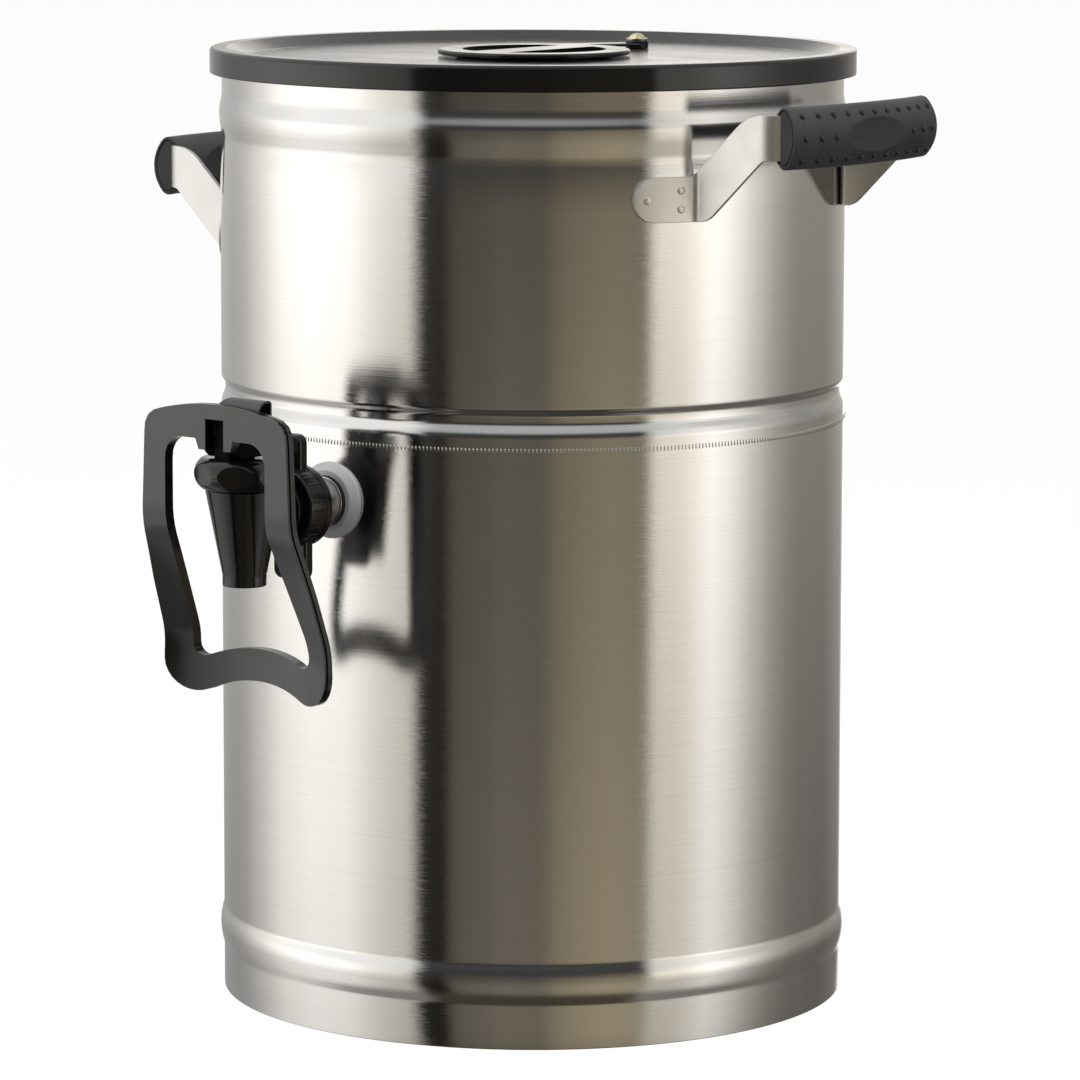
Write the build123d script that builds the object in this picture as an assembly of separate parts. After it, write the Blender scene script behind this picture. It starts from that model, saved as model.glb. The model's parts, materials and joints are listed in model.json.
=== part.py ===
from build123d import *
import os
from math import acos, asin, atan2, cos, degrees, hypot, pi, radians, sin, sqrt, tan

# Stainless tea urn. The upper half is the tank, the lower half is an open skirt that lifts the faucet
# over a tall cup. Origin at the centre of the foot, +Z up, faucet towards -Y, handles at +X and -X.
# All sizes are in millimetres. A reach is a distance out from the urn's axis towards the faucet.

# Body shell
body_radius = 140.0
sheet = 0.9
body_height = 422.5
neck_step = 0.9
rim_roll_radius = 1.9
hem_height = 9.0
bottom_bead_z = 28.5
bottom_bead_half = 10.0
bottom_bead_rise = 1.6
groove_z = 272.0
groove_half = 6.8
groove_depth = 2.0
shoulder_drop = 17.0
shoulder_upper_flank = 8.5
shoulder_lower_flank = 12.0
shoulder_rise = 0.9
bead_foot_share = 0.3
bead_crest_share = 0.65

# Tank bottom pan
pan_corner = 7.0
pan_gap = 0.1
pan_floor_clearance = 0.5
pan_lip_below_groove = 3.0

# Lid
lid_wall = 2.0
lid_clearance = 0.5
lid_skirt_drop = 9.3
lid_rim_width = 7.5
lid_slope_width = 9.5
lid_recess = 4.3
lid_edge_round = 1.8
brew_hole_radius = 30.0
vent_radius = 1.4
vent_inset = 6.0
vent_turn = 215.0

# Swing cover of the brew hole
cover_radius = 43.0
cover_ring_width = 11.0
cover_foot_width = 2.6
cover_floor = 1.2
cover_lift = 1.1
cover_thick = 2.2
cover_bar_width = 18.0
cover_running_gap = 0.15
pivot_x = -2.0
pivot_y = 78.0
pivot_boss_radius = 5.2
pivot_boss_extra = 0.4
pivot_screw_radius = 2.0
pivot_running_fit = 0.1
pivot_head_radius = 4.1
pivot_head_height = 2.4
pivot_washer_radius = 5.0
pivot_washer_thick = 0.7
pivot_nut_flats = 7.0
pivot_nut_height = 3.2
pivot_thread_spare = 1.5

# Handle straps
strap_width = 19.3
strap_thick = 2.0
strap_seat_gap = 0.05
tab_drop = 55.6
tab_length = 25.8
leg_half_spacing = 53.5
leg_foot_out = 7.6
leg_slope = 43.5
bar_rise = 27.5
bar_out = 49.0
bow_radius = 220.0
strap_bend = 6.0
leg_foot_round = 11.0
leg_head_round = 4.0
leg_shoulder_round = 20.0
leg_heel_round = 2.0
left_handle_drop = 29.0
weld_pip_radius = 1.7
weld_pip_height = 0.5
weld_pip_from_end = 5.6
weld_pip_from_leg = 7.0
weld_pip_half_spacing = 4.0

# Handle grips, height taken corner to corner before rounding
grip_end_inset = 3.0
grip_height = 28.6
grip_outside = 9.5
grip_inside = 6.5
grip_edge_offset = 2.5
grip_edge_round = 4.0
grip_end_round = 1.5
grip_fit = 0.05

# Faucet shank through the wall
faucet_below_groove = 36.5
shank_radius = 8.0
shank_bore_radius = 5.0
shank_hole_clearance = 0.3
shank_inside_length = 20.0
collar_radius = 9.7
collar_length = 19.0
flange_radius = 12.2
flange_thick = 2.4
seat_washer_radius = 16.5
seat_washer_thick = 3.2
inner_washer_radius = 14.0
inner_washer_thick = 2.8
lock_nut_flats = 24.0
lock_nut_thick = 6.5
thread_fit = 0.05

# Wing nut
nut_radius = 17.2
nut_length = 13.5
nut_back_wall = 3.0
nut_running_fit = 0.1
nut_flange_room = 0.8
nut_flute_count = 28
nut_flute_radius = 1.3
nut_flute_depth = 0.6
wing_reach = 29.4
wing_width = 18.0
wing_thick = 5.4
wing_setback = 3.0

# Faucet body
gasket_thick = 1.8
tail_length = 29.8
tail_neck_radius = 10.0
tail_thread_length = 9.0
spout_drop = 30.5
spout_straight = 4.8
spout_radius = 9.4
spout_bore_radius = 7.0
cone_top_rise = 11.0
cone_top_radius = 16.6
valve_seat_drop = 13.5
chamber_radius = 11.6
bonnet_neck_radius = 14.2
bonnet_neck_height = 7.0

# Bonnet
bonnet_height = 13.7
bonnet_foot_radius = 17.2
bonnet_belly_radius = 21.2
bonnet_top_radius = 17.4
bonnet_belly_height = 7.0
bonnet_roof = 4.0
bonnet_flat_distance = 19.7
bonnet_flat_count = 7
bonnet_flat_turn = -59.1

# Lever pin and its lug on the bonnet
pin_ahead_of_spout = 11.3
pin_above_bonnet = 13.8
pin_radius = 1.7
pin_running_fit = 0.06
pin_end_inset = 1.0
lug_width = 8.4
lug_round = 4.5
lug_clearance = 0.5

# Lever: flat upper plate with a window, lower part set back and curved to take a cup.
# A drop is measured down from the pin.
plate_ahead_of_pin = 2.5
lever_thick = 5.0
lever_rise = 10.5
lever_crown = 10.6
lever_shoulder_round = 11.0
lever_half_width = 41.0
kink_drop = 40.0
kink_half_width = 42.5
waist_drop = 78.0
waist_half_width = 42.6
lobe_drop = 102.5
lobe_half_width = 46.5
lobe_round = 12.0
bottom_drop = 111.6
lever_bottom_arch = 11.5
window_drop = 4.7
window_half_width = 28.7
window_low_half_width = 33.0
sill_drop = 97.5
window_sill_arch = 5.2
window_top_round = 7.0
window_sill_round = 6.0
ear_half_width = 9.8
ear_tip_half_width = 6.2
ear_drop = 9.6
cup_set_back = 29.0
cup_sagitta = 10.0
cup_edge_drop = 93.0
hub_half_width = 19.0
hub_depth = 8.0
hub_rise = 10.6
prong_width = 4.6
prong_thick = 3.0
prong_drop = 6.0
prong_stem_gap = 0.4

# Valve stem, seat cup and closing spring
stem_radius = 3.0
stem_running_fit = 0.1
stem_head_radius = 5.0
stem_head_height = 3.0
stem_head_gap = 0.15
seat_cup_radius = 9.6
seat_cup_height = 11.0
seat_cup_floor = 3.0
spring_coil_radius = 5.6
spring_wire_radius = 0.55
spring_turns = 5
spring_end_gap = 0.05

# Sizes that follow from the ones above
neck_radius = body_radius - neck_step
shoulder_top_z = body_height - shoulder_drop
shoulder_crest_z = shoulder_top_z - shoulder_upper_flank
shoulder_low_z = shoulder_crest_z - shoulder_lower_flank
roll_centre_r = neck_radius - sheet + rim_roll_radius
lid_inner_radius = roll_centre_r + rim_roll_radius + lid_clearance
lid_outer_radius = lid_inner_radius + lid_wall
lid_rim_z = body_height + lid_wall
lid_plane_z = lid_rim_z - lid_recess
lid_under_z = lid_plane_z - lid_wall
rim_inner_radius = lid_outer_radius - lid_rim_width
lid_plane_radius = rim_inner_radius - lid_slope_width
cover_foot_z = lid_plane_z + cover_running_gap
cover_top_z = lid_plane_z + cover_lift + cover_thick
boss_top_z = cover_top_z + pivot_boss_extra
pivot_hole_radius = pivot_screw_radius + pivot_running_fit
tab_z = body_height - tab_drop
bar_z = tab_z + bar_rise
tab_reach_y = leg_half_spacing + tab_length
strap_seat_radius = body_radius + strap_seat_gap
leg_root_x = sqrt(strap_seat_radius**2 - leg_half_spacing**2)
leg_foot_x = leg_root_x + leg_foot_out
bar_reach_x = leg_root_x + bar_out
bow_centre_x = bar_reach_x - bow_radius
grip_half_length = leg_half_spacing - grip_end_inset
faucet_z = groove_z - faucet_below_groove
tank_floor_z = faucet_z - inner_washer_radius - pan_corner - pan_floor_clearance
pan_radius = body_radius - sheet - pan_gap
pan_inner_radius = pan_radius - sheet
pan_lip_z = groove_z - groove_half - pan_lip_below_groove
shank_hole_radius = shank_radius + shank_hole_clearance
collar_start = body_radius + seat_washer_thick
flange_start = collar_start + collar_length
flange_end = flange_start + flange_thick
tail_start = flange_end + gasket_thick
nut_start = flange_start - nut_running_fit - nut_back_wall
nut_bore_radius = flange_radius + nut_flange_room
tail_thread_radius = nut_bore_radius - nut_running_fit
inner_washer_face = pan_inner_radius - inner_washer_thick
spout_reach = tail_start + tail_length
spout_bottom_z = faucet_z - spout_drop
valve_seat_z = faucet_z - valve_seat_drop
cone_top_z = faucet_z + cone_top_rise
neck_top_z = cone_top_z + bonnet_neck_height
bonnet_top_z = cone_top_z + bonnet_height
roof_under_z = bonnet_top_z - bonnet_roof
pin_reach = spout_reach + pin_ahead_of_spout
pin_z = bonnet_top_z + pin_above_bonnet
slot_half_width = lug_width / 2 + lug_clearance
slot_top_z = pin_z + lug_round + lug_clearance
prong_z = pin_z - prong_drop
stem_head_z = prong_z + prong_thick / 2 + stem_head_gap
seat_cup_top_z = valve_seat_z + seat_cup_height
stem_foot_z = valve_seat_z + seat_cup_floor
lever_back_reach = pin_reach + plate_ahead_of_pin
lever_front_reach = lever_back_reach + lever_thick
hub_rear_reach = lever_back_reach - hub_depth
lever_top_z = pin_z + lever_rise
hub_top_z = pin_z + hub_rise
window_top_z = pin_z - window_drop
ear_bottom_z = pin_z - ear_drop
kink_z = pin_z - kink_drop
waist_z = pin_z - waist_drop
cup_top_edge_z = pin_z - cup_edge_drop
window_sill_z = pin_z - sill_drop
lobe_z = pin_z - lobe_drop
lever_bottom_z = pin_z - bottom_drop
on_spout = Pos(0, -spout_reach, 0)
on_pivot = Pos(pivot_x, pivot_y, 0)
standing = (Align.CENTER, Align.CENTER, Align.MIN)


def save(name, shape):
    export_step(shape, "parts/" + name + ".step")


def corner_radii(points, tangents):
    # Radius that rounds each inner corner of an outline over the given length of its sides.
    radii = []
    for before, here, after, tangent in zip(points, points[1:], points[2:], tangents):
        first = atan2(here[1] - before[1], here[0] - before[0])
        second = atan2(after[1] - here[1], after[0] - here[0])
        turn = abs((second - first + pi) % (2 * pi) - pi)
        radii.append(tangent / tan(turn / 2))
    return radii


def bead_corners(z, half, rise):
    # Corners of a rolled bead, and the rounded length at each. The rounding lowers the crest.
    peak = rise / (1 - bead_crest_share / 2)
    flank = hypot(half, peak)
    points = [(body_radius, z - half), (body_radius + peak, z), (body_radius, z + half)]
    tangents = [bead_foot_share * flank, bead_crest_share * flank, bead_foot_share * flank]
    return points, tangents


def post(radius, z_low, z_high):
    return Pos(0, 0, z_low) * Cylinder(radius, z_high - z_low, align=standing)


def ring(outer, inner, z_low, z_high):
    return post(outer, z_low, z_high) - post(inner, z_low, z_high)


def faucet_rod(radius, start, end):
    # Round bar on the shank's line between two reaches.
    return Pos(0, -start, faucet_z) * Rot(90, 0, 0) * Cylinder(radius, end - start, align=standing)


def between(first, second):
    # Closed section between two lines that start and end side by side.
    ends = [Line(first @ 0, second @ 0), Line(first @ 1, second @ 1)]
    return make_face(first.edges() + second.edges() + ends)


def turned(section):
    return revolve(Plane.XZ * section, Axis.Z)


def make_body_shell():
    low_points, low_tangents = bead_corners(bottom_bead_z, bottom_bead_half, bottom_bead_rise)
    groove_points, groove_tangents = bead_corners(groove_z, groove_half, -groove_depth)
    shoulder_points = [
        (body_radius, shoulder_low_z),
        (body_radius + shoulder_rise, shoulder_crest_z),
        (neck_radius, shoulder_top_z),
    ]
    shoulder_tangents = [
        bead_foot_share * shoulder_lower_flank,
        bead_crest_share * min(shoulder_lower_flank, shoulder_upper_flank),
        bead_foot_share * shoulder_upper_flank,
    ]
    roll_centre_z = body_height - rim_roll_radius
    points = [(body_radius, 0)] + low_points + groove_points + shoulder_points
    points = points + [(neck_radius, roll_centre_z)]
    tangents = low_tangents + groove_tangents + shoulder_tangents
    outside = FilletPolyline(*points, radius=corner_radii(points, tangents))
    section = between(outside, Pos(-sheet, 0) * outside)
    section += Pos(roll_centre_r, roll_centre_z) * Circle(rim_roll_radius)
    section += Pos(body_radius - 1.5 * sheet, hem_height / 2) * Rectangle(sheet, hem_height)
    return turned(section) - faucet_rod(shank_hole_radius, pan_inner_radius, collar_start)


def make_tank_bottom():
    under_z = tank_floor_z - sheet
    outside = FilletPolyline((0, under_z), (pan_radius, under_z), (pan_radius, pan_lip_z), radius=pan_corner)
    inside = FilletPolyline(
        (0, tank_floor_z), (pan_inner_radius, tank_floor_z), (pan_inner_radius, pan_lip_z),
        radius=pan_corner - sheet,
    )
    pan = turned(between(outside, inside))
    return pan - faucet_rod(shank_hole_radius, inner_washer_face, collar_start)


def make_lid():
    slope = lid_recess / lid_slope_width
    under_drop = lid_wall * hypot(1, slope)
    under_corner_r = rim_inner_radius + (under_drop - lid_wall) / slope
    skirt_z = body_height - lid_skirt_drop
    section = make_face(Polyline(
        (brew_hole_radius, lid_under_z),
        (under_corner_r - lid_slope_width, lid_under_z),
        (under_corner_r, body_height),
        (lid_inner_radius, body_height),
        (lid_inner_radius, skirt_z),
        (lid_outer_radius, skirt_z),
        (lid_outer_radius, lid_rim_z),
        (rim_inner_radius, lid_rim_z),
        (lid_plane_radius, lid_plane_z),
        (brew_hole_radius, lid_plane_z),
        close=True,
    ))
    outer_edge = section.vertices().sort_by_distance((lid_outer_radius, lid_rim_z, 0))[0]
    plate = turned(fillet(outer_edge, lid_edge_round))
    vent_r = lid_plane_radius - vent_inset
    vent_place = Pos(vent_r * cos(radians(vent_turn)), vent_r * sin(radians(vent_turn)), 0)
    plate -= on_pivot * post(pivot_hole_radius, lid_under_z - lid_wall, lid_rim_z)
    return plate - vent_place * post(vent_radius, lid_under_z - lid_wall, lid_rim_z)


def cover_outline():
    # Disc with an arm whose outer edge runs along the tangent of the disc and the pivot boss.
    arm_offset = cover_radius - pivot_boss_radius
    side_turn = atan2(pivot_y, pivot_x) + acos(arm_offset / hypot(pivot_x, pivot_y))
    root_x = arm_offset * cos(side_turn)
    root_y = arm_offset * sin(side_turn)
    arm_length = hypot(pivot_x - root_x, pivot_y - root_y)
    arm_place = Pos((root_x + pivot_x) / 2, (root_y + pivot_y) / 2) * Rot(0, 0, degrees(side_turn))
    arm = arm_place * Rectangle(2 * pivot_boss_radius, arm_length)
    return Circle(cover_radius) + arm + Pos(pivot_x, pivot_y) * Circle(pivot_boss_radius)


def make_swing_cover():
    well_radius = cover_radius - cover_ring_width
    foot_radius = well_radius + cover_foot_width
    floor_z = cover_foot_z + cover_floor
    cover = Pos(0, 0, lid_plane_z + cover_lift) * extrude(cover_outline(), cover_thick)
    cover += post(foot_radius, cover_foot_z, cover_top_z)
    cover += on_pivot * post(pivot_boss_radius, cover_foot_z, boss_top_z)
    cover -= post(well_radius, floor_z, cover_top_z)
    bar_outline = Circle(foot_radius) & Rectangle(cover_bar_width, 2 * cover_radius)
    cover += Pos(0, 0, cover_foot_z) * extrude(bar_outline, cover_top_z - cover_foot_z)
    return cover - on_pivot * post(pivot_hole_radius, lid_plane_z, lid_rim_z)


def make_cover_pivot():
    # Screw with a domed head, a washer above the cover, and a washer and nut under the lid.
    washer_z = boss_top_z + cover_running_gap
    head_z = washer_z + pivot_washer_thick
    lower_washer_z = lid_under_z - pivot_washer_thick
    nut_z = lower_washer_z - pivot_nut_height
    dome = (pivot_head_radius**2 + pivot_head_height**2) / (2 * pivot_head_height)
    head = Pos(0, 0, head_z + pivot_head_height - dome) * Sphere(dome)
    head &= post(2 * pivot_head_radius, head_z, head_z + pivot_head_height)
    screw = head + post(pivot_screw_radius, nut_z - pivot_thread_spare, head_z)
    nut_outline = RegularPolygon(pivot_nut_flats / 2, 6, major_radius=False)
    nut_outline -= Circle(pivot_screw_radius + thread_fit)
    save("cover_pivot_screw", on_pivot * screw)
    save("cover_pivot_washer", on_pivot * ring(pivot_washer_radius, pivot_hole_radius, washer_z, head_z))
    save(
        "cover_pivot_lower_washer",
        on_pivot * ring(pivot_washer_radius, pivot_hole_radius, lower_washer_z, lid_under_z),
    )
    save("cover_pivot_nut", on_pivot * Pos(0, 0, nut_z) * extrude(nut_outline, pivot_nut_height))


def strap_plan(half):
    # Strap seen from above: tabs round the shell, straight legs and an outward-bowed bar.
    side_outer = leg_half_spacing + half
    side_inner = leg_half_spacing - half
    bow_outer = bow_radius + half
    bow_inner = bow_radius - half
    bow = Pos(bow_centre_x, 0)
    front = Pos(bar_reach_x, 0) * Rectangle(bar_reach_x, 2 * side_outer)
    plan = (bow * (Circle(bow_outer) - Circle(bow_inner))) & front
    tab_band = Circle(strap_seat_radius + 2 * half) - Circle(strap_seat_radius)
    tab_span = tab_reach_y + strap_thick - side_inner
    for side in (1, -1):
        leg = Pos(bar_reach_x / 2, side * leg_half_spacing) * Rectangle(bar_reach_x, 2 * half)
        plan += (leg & (bow * Circle(bow_outer))) - Circle(strap_seat_radius)
        tab_side = Pos(body_radius, side * (side_inner + tab_span / 2)) * Rectangle(body_radius, tab_span)
        plan += tab_band & tab_side
    corners = [
        (sqrt(bow_outer**2 - side_outer**2), side_outer, strap_bend + half),
        (sqrt(bow_inner**2 - side_inner**2), side_inner, strap_bend - half),
    ]
    for x, y, radius in corners:
        for side in (1, -1):
            corner = plan.vertices().sort_by_distance((bow_centre_x + x, side * y, 0))[0]
            plan = fillet(corner, radius)
    return plan


def make_strap(extra):
    half = strap_thick / 2 + extra
    width = strap_width + 2 * extra
    low = tab_z - width / 2
    high = tab_z + width / 2
    head_x = leg_foot_x + bar_rise / tan(radians(leg_slope))
    shift = width * tan(radians(leg_slope / 2))
    far_x = bar_reach_x + strap_width
    lower = FilletPolyline(
        (0, low), (leg_foot_x, low), (head_x, low + bar_rise), (far_x, low + bar_rise),
        radius=[leg_foot_round, leg_head_round],
    )
    upper = FilletPolyline(
        (0, high), (leg_foot_x - shift, high), (head_x - shift, high + bar_rise), (far_x, high + bar_rise),
        radius=[leg_heel_round, leg_shoulder_round],
    )
    leg_shape = extrude(Plane.XZ * between(lower, upper), leg_half_spacing + half, both=True)
    tab_limit_x = sqrt((body_radius + strap_thick)**2 - leg_half_spacing**2)
    tab_shape = extrude(Plane.YZ * SlotOverall(2 * tab_reach_y, width), tab_limit_x)
    blank = Pos(0, 0, low) * extrude(strap_plan(half), high + bar_rise - low)
    return (blank & leg_shape) + (blank & (Pos(0, 0, tab_z) * tab_shape))


def make_strap_with_welds():
    strap = make_strap(0)
    face_radius = strap_seat_radius + strap_thick
    end_turn = asin(tab_reach_y / face_radius) - weld_pip_from_end / face_radius
    leg_turn = asin((leg_half_spacing + strap_thick / 2) / face_radius) + weld_pip_from_leg / face_radius
    places = [(end_turn, 0), (leg_turn, weld_pip_half_spacing), (leg_turn, -weld_pip_half_spacing)]
    pip = Cone(weld_pip_radius, weld_pip_radius - weld_pip_height, 2 * weld_pip_height)
    for turn, rise in places:
        for side in (1, -1):
            place = Rot(0, 0, side * degrees(turn)) * Pos(face_radius, 0, tab_z + rise) * Rot(0, 90, 0)
            strap += place * pip
    return strap


def make_grip():
    top = (grip_edge_offset, grip_height / 2)
    bottom = (grip_edge_offset, -grip_height / 2)
    section = make_face([
        ThreePointArc(top, (grip_outside, 0), bottom),
        ThreePointArc(bottom, (-grip_inside, 0), top),
    ])
    section = fillet(section.vertices(), grip_edge_round)
    half_turn = degrees(asin(grip_half_length / bow_radius))
    sleeve = revolve(Plane.XZ * Pos(bow_radius, 0) * section, Axis.Z, 2 * half_turn)
    sleeve = Rot(0, 0, -half_turn) * sleeve
    ends = sleeve.faces().sort_by(Axis.Y)[0].edges() + sleeve.faces().sort_by(Axis.Y)[-1].edges()
    sleeve = fillet(ends, grip_end_round)
    return Pos(bow_centre_x, 0, bar_z) * sleeve - make_strap(grip_fit)


def make_shank_parts():
    shank = faucet_rod(shank_radius, body_radius - shank_inside_length, collar_start)
    shank += faucet_rod(collar_radius, collar_start, flange_start)
    shank += faucet_rod(flange_radius, flange_start, flange_end)
    shank -= faucet_rod(shank_bore_radius, body_radius - shank_inside_length, flange_end)
    hole = faucet_rod(shank_radius + thread_fit, 0, collar_start)
    seat_washer = faucet_rod(seat_washer_radius, pan_inner_radius, collar_start)
    seat_washer = seat_washer - post(body_radius, 0, body_height) - hole
    inner_washer = faucet_rod(inner_washer_radius, inner_washer_face, pan_radius)
    inner_washer = (inner_washer & post(pan_inner_radius, 0, body_height)) - hole
    nut_outline = RegularPolygon(lock_nut_flats / 2, 6, major_radius=False)
    nut_outline -= Circle(shank_radius + thread_fit)
    nut_place = Pos(0, -inner_washer_face, faucet_z) * Rot(-90, 0, 0)
    gasket = faucet_rod(flange_radius, flange_end, tail_start)
    gasket -= faucet_rod(shank_bore_radius, flange_end, tail_start)
    save("shank", shank)
    save("shank_outer_washer", seat_washer)
    save("shank_inner_washer", inner_washer)
    save("shank_lock_nut", nut_place * extrude(nut_outline, lock_nut_thick))
    save("coupling_gasket", gasket)


def make_wing_nut():
    outline = Circle(nut_radius)
    flute_centre = nut_radius + nut_flute_radius - nut_flute_depth
    for place in PolarLocations(flute_centre, nut_flute_count):
        outline -= place * Circle(nut_flute_radius)
    nut = extrude(outline, nut_length)
    wings = extrude(Rot(0, 0, 90) * SlotOverall(2 * wing_reach, wing_width), wing_thick)
    nut += Pos(0, 0, wing_setback) * wings
    nut -= post(collar_radius + nut_running_fit, 0, nut_length)
    nut -= post(nut_bore_radius, nut_back_wall, nut_length)
    return Pos(0, -nut_start, faucet_z) * Rot(90, 0, 0) * nut


def make_faucet_body():
    outline = make_face(Polyline(
        (0, spout_bottom_z),
        (spout_radius, spout_bottom_z),
        (spout_radius, spout_bottom_z + spout_straight),
        (cone_top_radius, cone_top_z),
        (bonnet_neck_radius, cone_top_z),
        (bonnet_neck_radius, neck_top_z),
        (0, neck_top_z),
        close=True,
    ))
    thread_end = tail_start + tail_thread_length
    body = on_spout * turned(outline)
    body += faucet_rod(tail_thread_radius, tail_start, thread_end)
    body += faucet_rod(tail_neck_radius, thread_end, spout_reach)
    body -= on_spout * post(spout_bore_radius, spout_bottom_z, valve_seat_z)
    body -= on_spout * post(chamber_radius, valve_seat_z, neck_top_z)
    return body - faucet_rod(shank_bore_radius, tail_start, spout_reach)


def make_bonnet():
    foot = (bonnet_foot_radius, cone_top_z)
    belly = (bonnet_belly_radius, cone_top_z + bonnet_belly_height)
    shoulder = (bonnet_top_radius, bonnet_top_z)
    barrel = [
        ThreePointArc(foot, belly, shoulder),
        Line(shoulder, (0, bonnet_top_z)),
        Line((0, bonnet_top_z), (0, cone_top_z)),
        Line((0, cone_top_z), foot),
    ]
    bonnet = turned(make_face(barrel))
    chip_depth = bonnet_belly_radius
    chip = Pos(bonnet_flat_distance + chip_depth / 2, 0, cone_top_z + bonnet_height / 2)
    chip = chip * Box(chip_depth, 2 * bonnet_belly_radius, 2 * bonnet_height)
    for index in range(bonnet_flat_count):
        bonnet -= Rot(0, 0, bonnet_flat_turn + index * 360 / bonnet_flat_count) * chip
    bonnet -= post(bonnet_neck_radius + thread_fit, cone_top_z, neck_top_z)
    bonnet -= post(chamber_radius, neck_top_z, roof_under_z)
    bonnet -= post(stem_radius + stem_running_fit, roof_under_z, bonnet_top_z)
    lug_low = (bonnet_top_z + roof_under_z) / 2
    lug_side = Pos(-pin_reach, (lug_low + pin_z) / 2) * Rectangle(2 * lug_round, pin_z - lug_low)
    lug_side += Pos(-pin_reach, pin_z) * Circle(lug_round)
    lug_side -= Pos(-pin_reach, pin_z) * Circle(pin_radius)
    lug = extrude(Plane.YZ * lug_side, lug_width / 2, both=True)
    return on_spout * bonnet + lug


def arched_outline(half_width, crown_z, drop):
    # Level arch over the given half width, falling to both ends.
    return ThreePointArc((-half_width, crown_z - drop), (0, crown_z), (half_width, crown_z - drop))


def lever_outline():
    side = [
        (lever_half_width, lever_top_z - lever_crown),
        (kink_half_width, kink_z),
        (waist_half_width, waist_z),
        (lobe_half_width, lobe_z),
        (lobe_half_width, lever_bottom_z - lever_bottom_arch),
    ]
    opposite = [(-x, z) for x, z in side]
    outer = make_face(
        arched_outline(lever_half_width, lever_top_z, lever_crown).edges()
        + arched_outline(lobe_half_width, lever_bottom_z, lever_bottom_arch).edges()
        + Polyline(*side).edges()
        + Polyline(*opposite).edges()
    )
    for x, z, radius in [side[0] + (lever_shoulder_round,), side[-1] + (lobe_round,)]:
        for sign in (1, -1):
            corner = outer.vertices().sort_by_distance((sign * x, z, 0))[0]
            outer = fillet(corner, radius)
    sill_end_z = window_sill_z - window_sill_arch
    jamb = [
        (window_half_width, window_top_z),
        (window_half_width, kink_z),
        (window_low_half_width, sill_end_z),
    ]
    opposite = [(-x, z) for x, z in jamb]
    window = make_face(
        Polyline(*jamb).edges()
        + Polyline(*opposite).edges()
        + arched_outline(window_low_half_width, window_sill_z, window_sill_arch).edges()
        + Line(jamb[0], opposite[0]).edges()
    )
    for x, z, radius in [jamb[0] + (window_top_round,), jamb[-1] + (window_sill_round,)]:
        for sign in (1, -1):
            corner = window.vertices().sort_by_distance((sign * x, z, 0))[0]
            window = fillet(corner, radius)
    ears = make_face(Polyline(
        (-ear_half_width, window_top_z),
        (-ear_tip_half_width, ear_bottom_z),
        (ear_tip_half_width, ear_bottom_z),
        (ear_half_width, window_top_z),
        close=True,
    ))
    slot_height = slot_top_z - ear_bottom_z
    slot = Pos(0, ear_bottom_z + slot_height / 2) * Rectangle(2 * slot_half_width, slot_height)
    return outer - window + ears - slot


def lever_sheet():
    # Plate as bent, before its outline is cut: flat above the kink, cupped below, blended between.
    half_width = lobe_half_width + lever_thick
    cup_front_reach = lever_front_reach - cup_set_back
    cup_radius = (lobe_half_width**2 + cup_sagitta**2) / (2 * cup_sagitta)
    cup_centre = Pos(0, -cup_front_reach - cup_radius)
    half_turn = degrees(asin(half_width / cup_radius))
    cup_front = cup_centre * CenterArc((0, 0), cup_radius, 90 - half_turn, 2 * half_turn)
    cup_back = cup_centre * CenterArc((0, 0), cup_radius + lever_thick, 90 - half_turn, 2 * half_turn)
    cup_band = between(cup_front, cup_back)
    flat_band = Pos(0, -lever_front_reach + lever_thick / 2) * Rectangle(2 * half_width, lever_thick)
    cup_depth = cup_top_edge_z - lever_bottom_z + 2 * lever_bottom_arch
    upper = Pos(0, 0, kink_z) * extrude(flat_band, lever_top_z - kink_z)
    lower = Pos(0, 0, cup_top_edge_z - cup_depth) * extrude(cup_band, cup_depth)
    middle = loft([Pos(0, 0, cup_top_edge_z) * cup_band, Pos(0, 0, kink_z) * flat_band], ruled=True)
    return upper + middle + lower


def make_lever():
    outline = extrude(Plane.XZ * lever_outline(), lever_front_reach + lever_thick)
    lever = lever_sheet() & outline
    hub_height = hub_top_z - ear_bottom_z
    hub_place = Pos(0, -lever_back_reach + hub_depth / 2, ear_bottom_z + hub_height / 2)
    hub = hub_place * Box(2 * hub_half_width, hub_depth, hub_height)
    slot_height = slot_top_z - ear_bottom_z
    hub -= Pos(0, -pin_reach, ear_bottom_z + slot_height / 2) * Box(
        2 * slot_half_width, 4 * hub_depth, slot_height
    )
    lever += hub
    inner = stem_radius + prong_stem_gap
    prong_length = hub_rear_reach - spout_reach
    prong_side = Pos(-spout_reach - prong_length / 2, prong_z) * Rectangle(prong_length, prong_thick)
    prong_side += Pos(-spout_reach, prong_z) * Circle(prong_thick / 2)
    for side in (inner, -inner - prong_width):
        lever += Pos(side, 0, 0) * extrude(Plane.YZ * prong_side, prong_width)
    hole = Cylinder(pin_radius + pin_running_fit, 2 * lobe_half_width)
    return lever - Pos(0, -pin_reach, pin_z) * Rot(0, 90, 0) * hole


def make_lever_pin():
    pin = Cylinder(pin_radius, 2 * (hub_half_width - pin_end_inset))
    return Pos(0, -pin_reach, pin_z) * Rot(0, 90, 0) * pin


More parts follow.
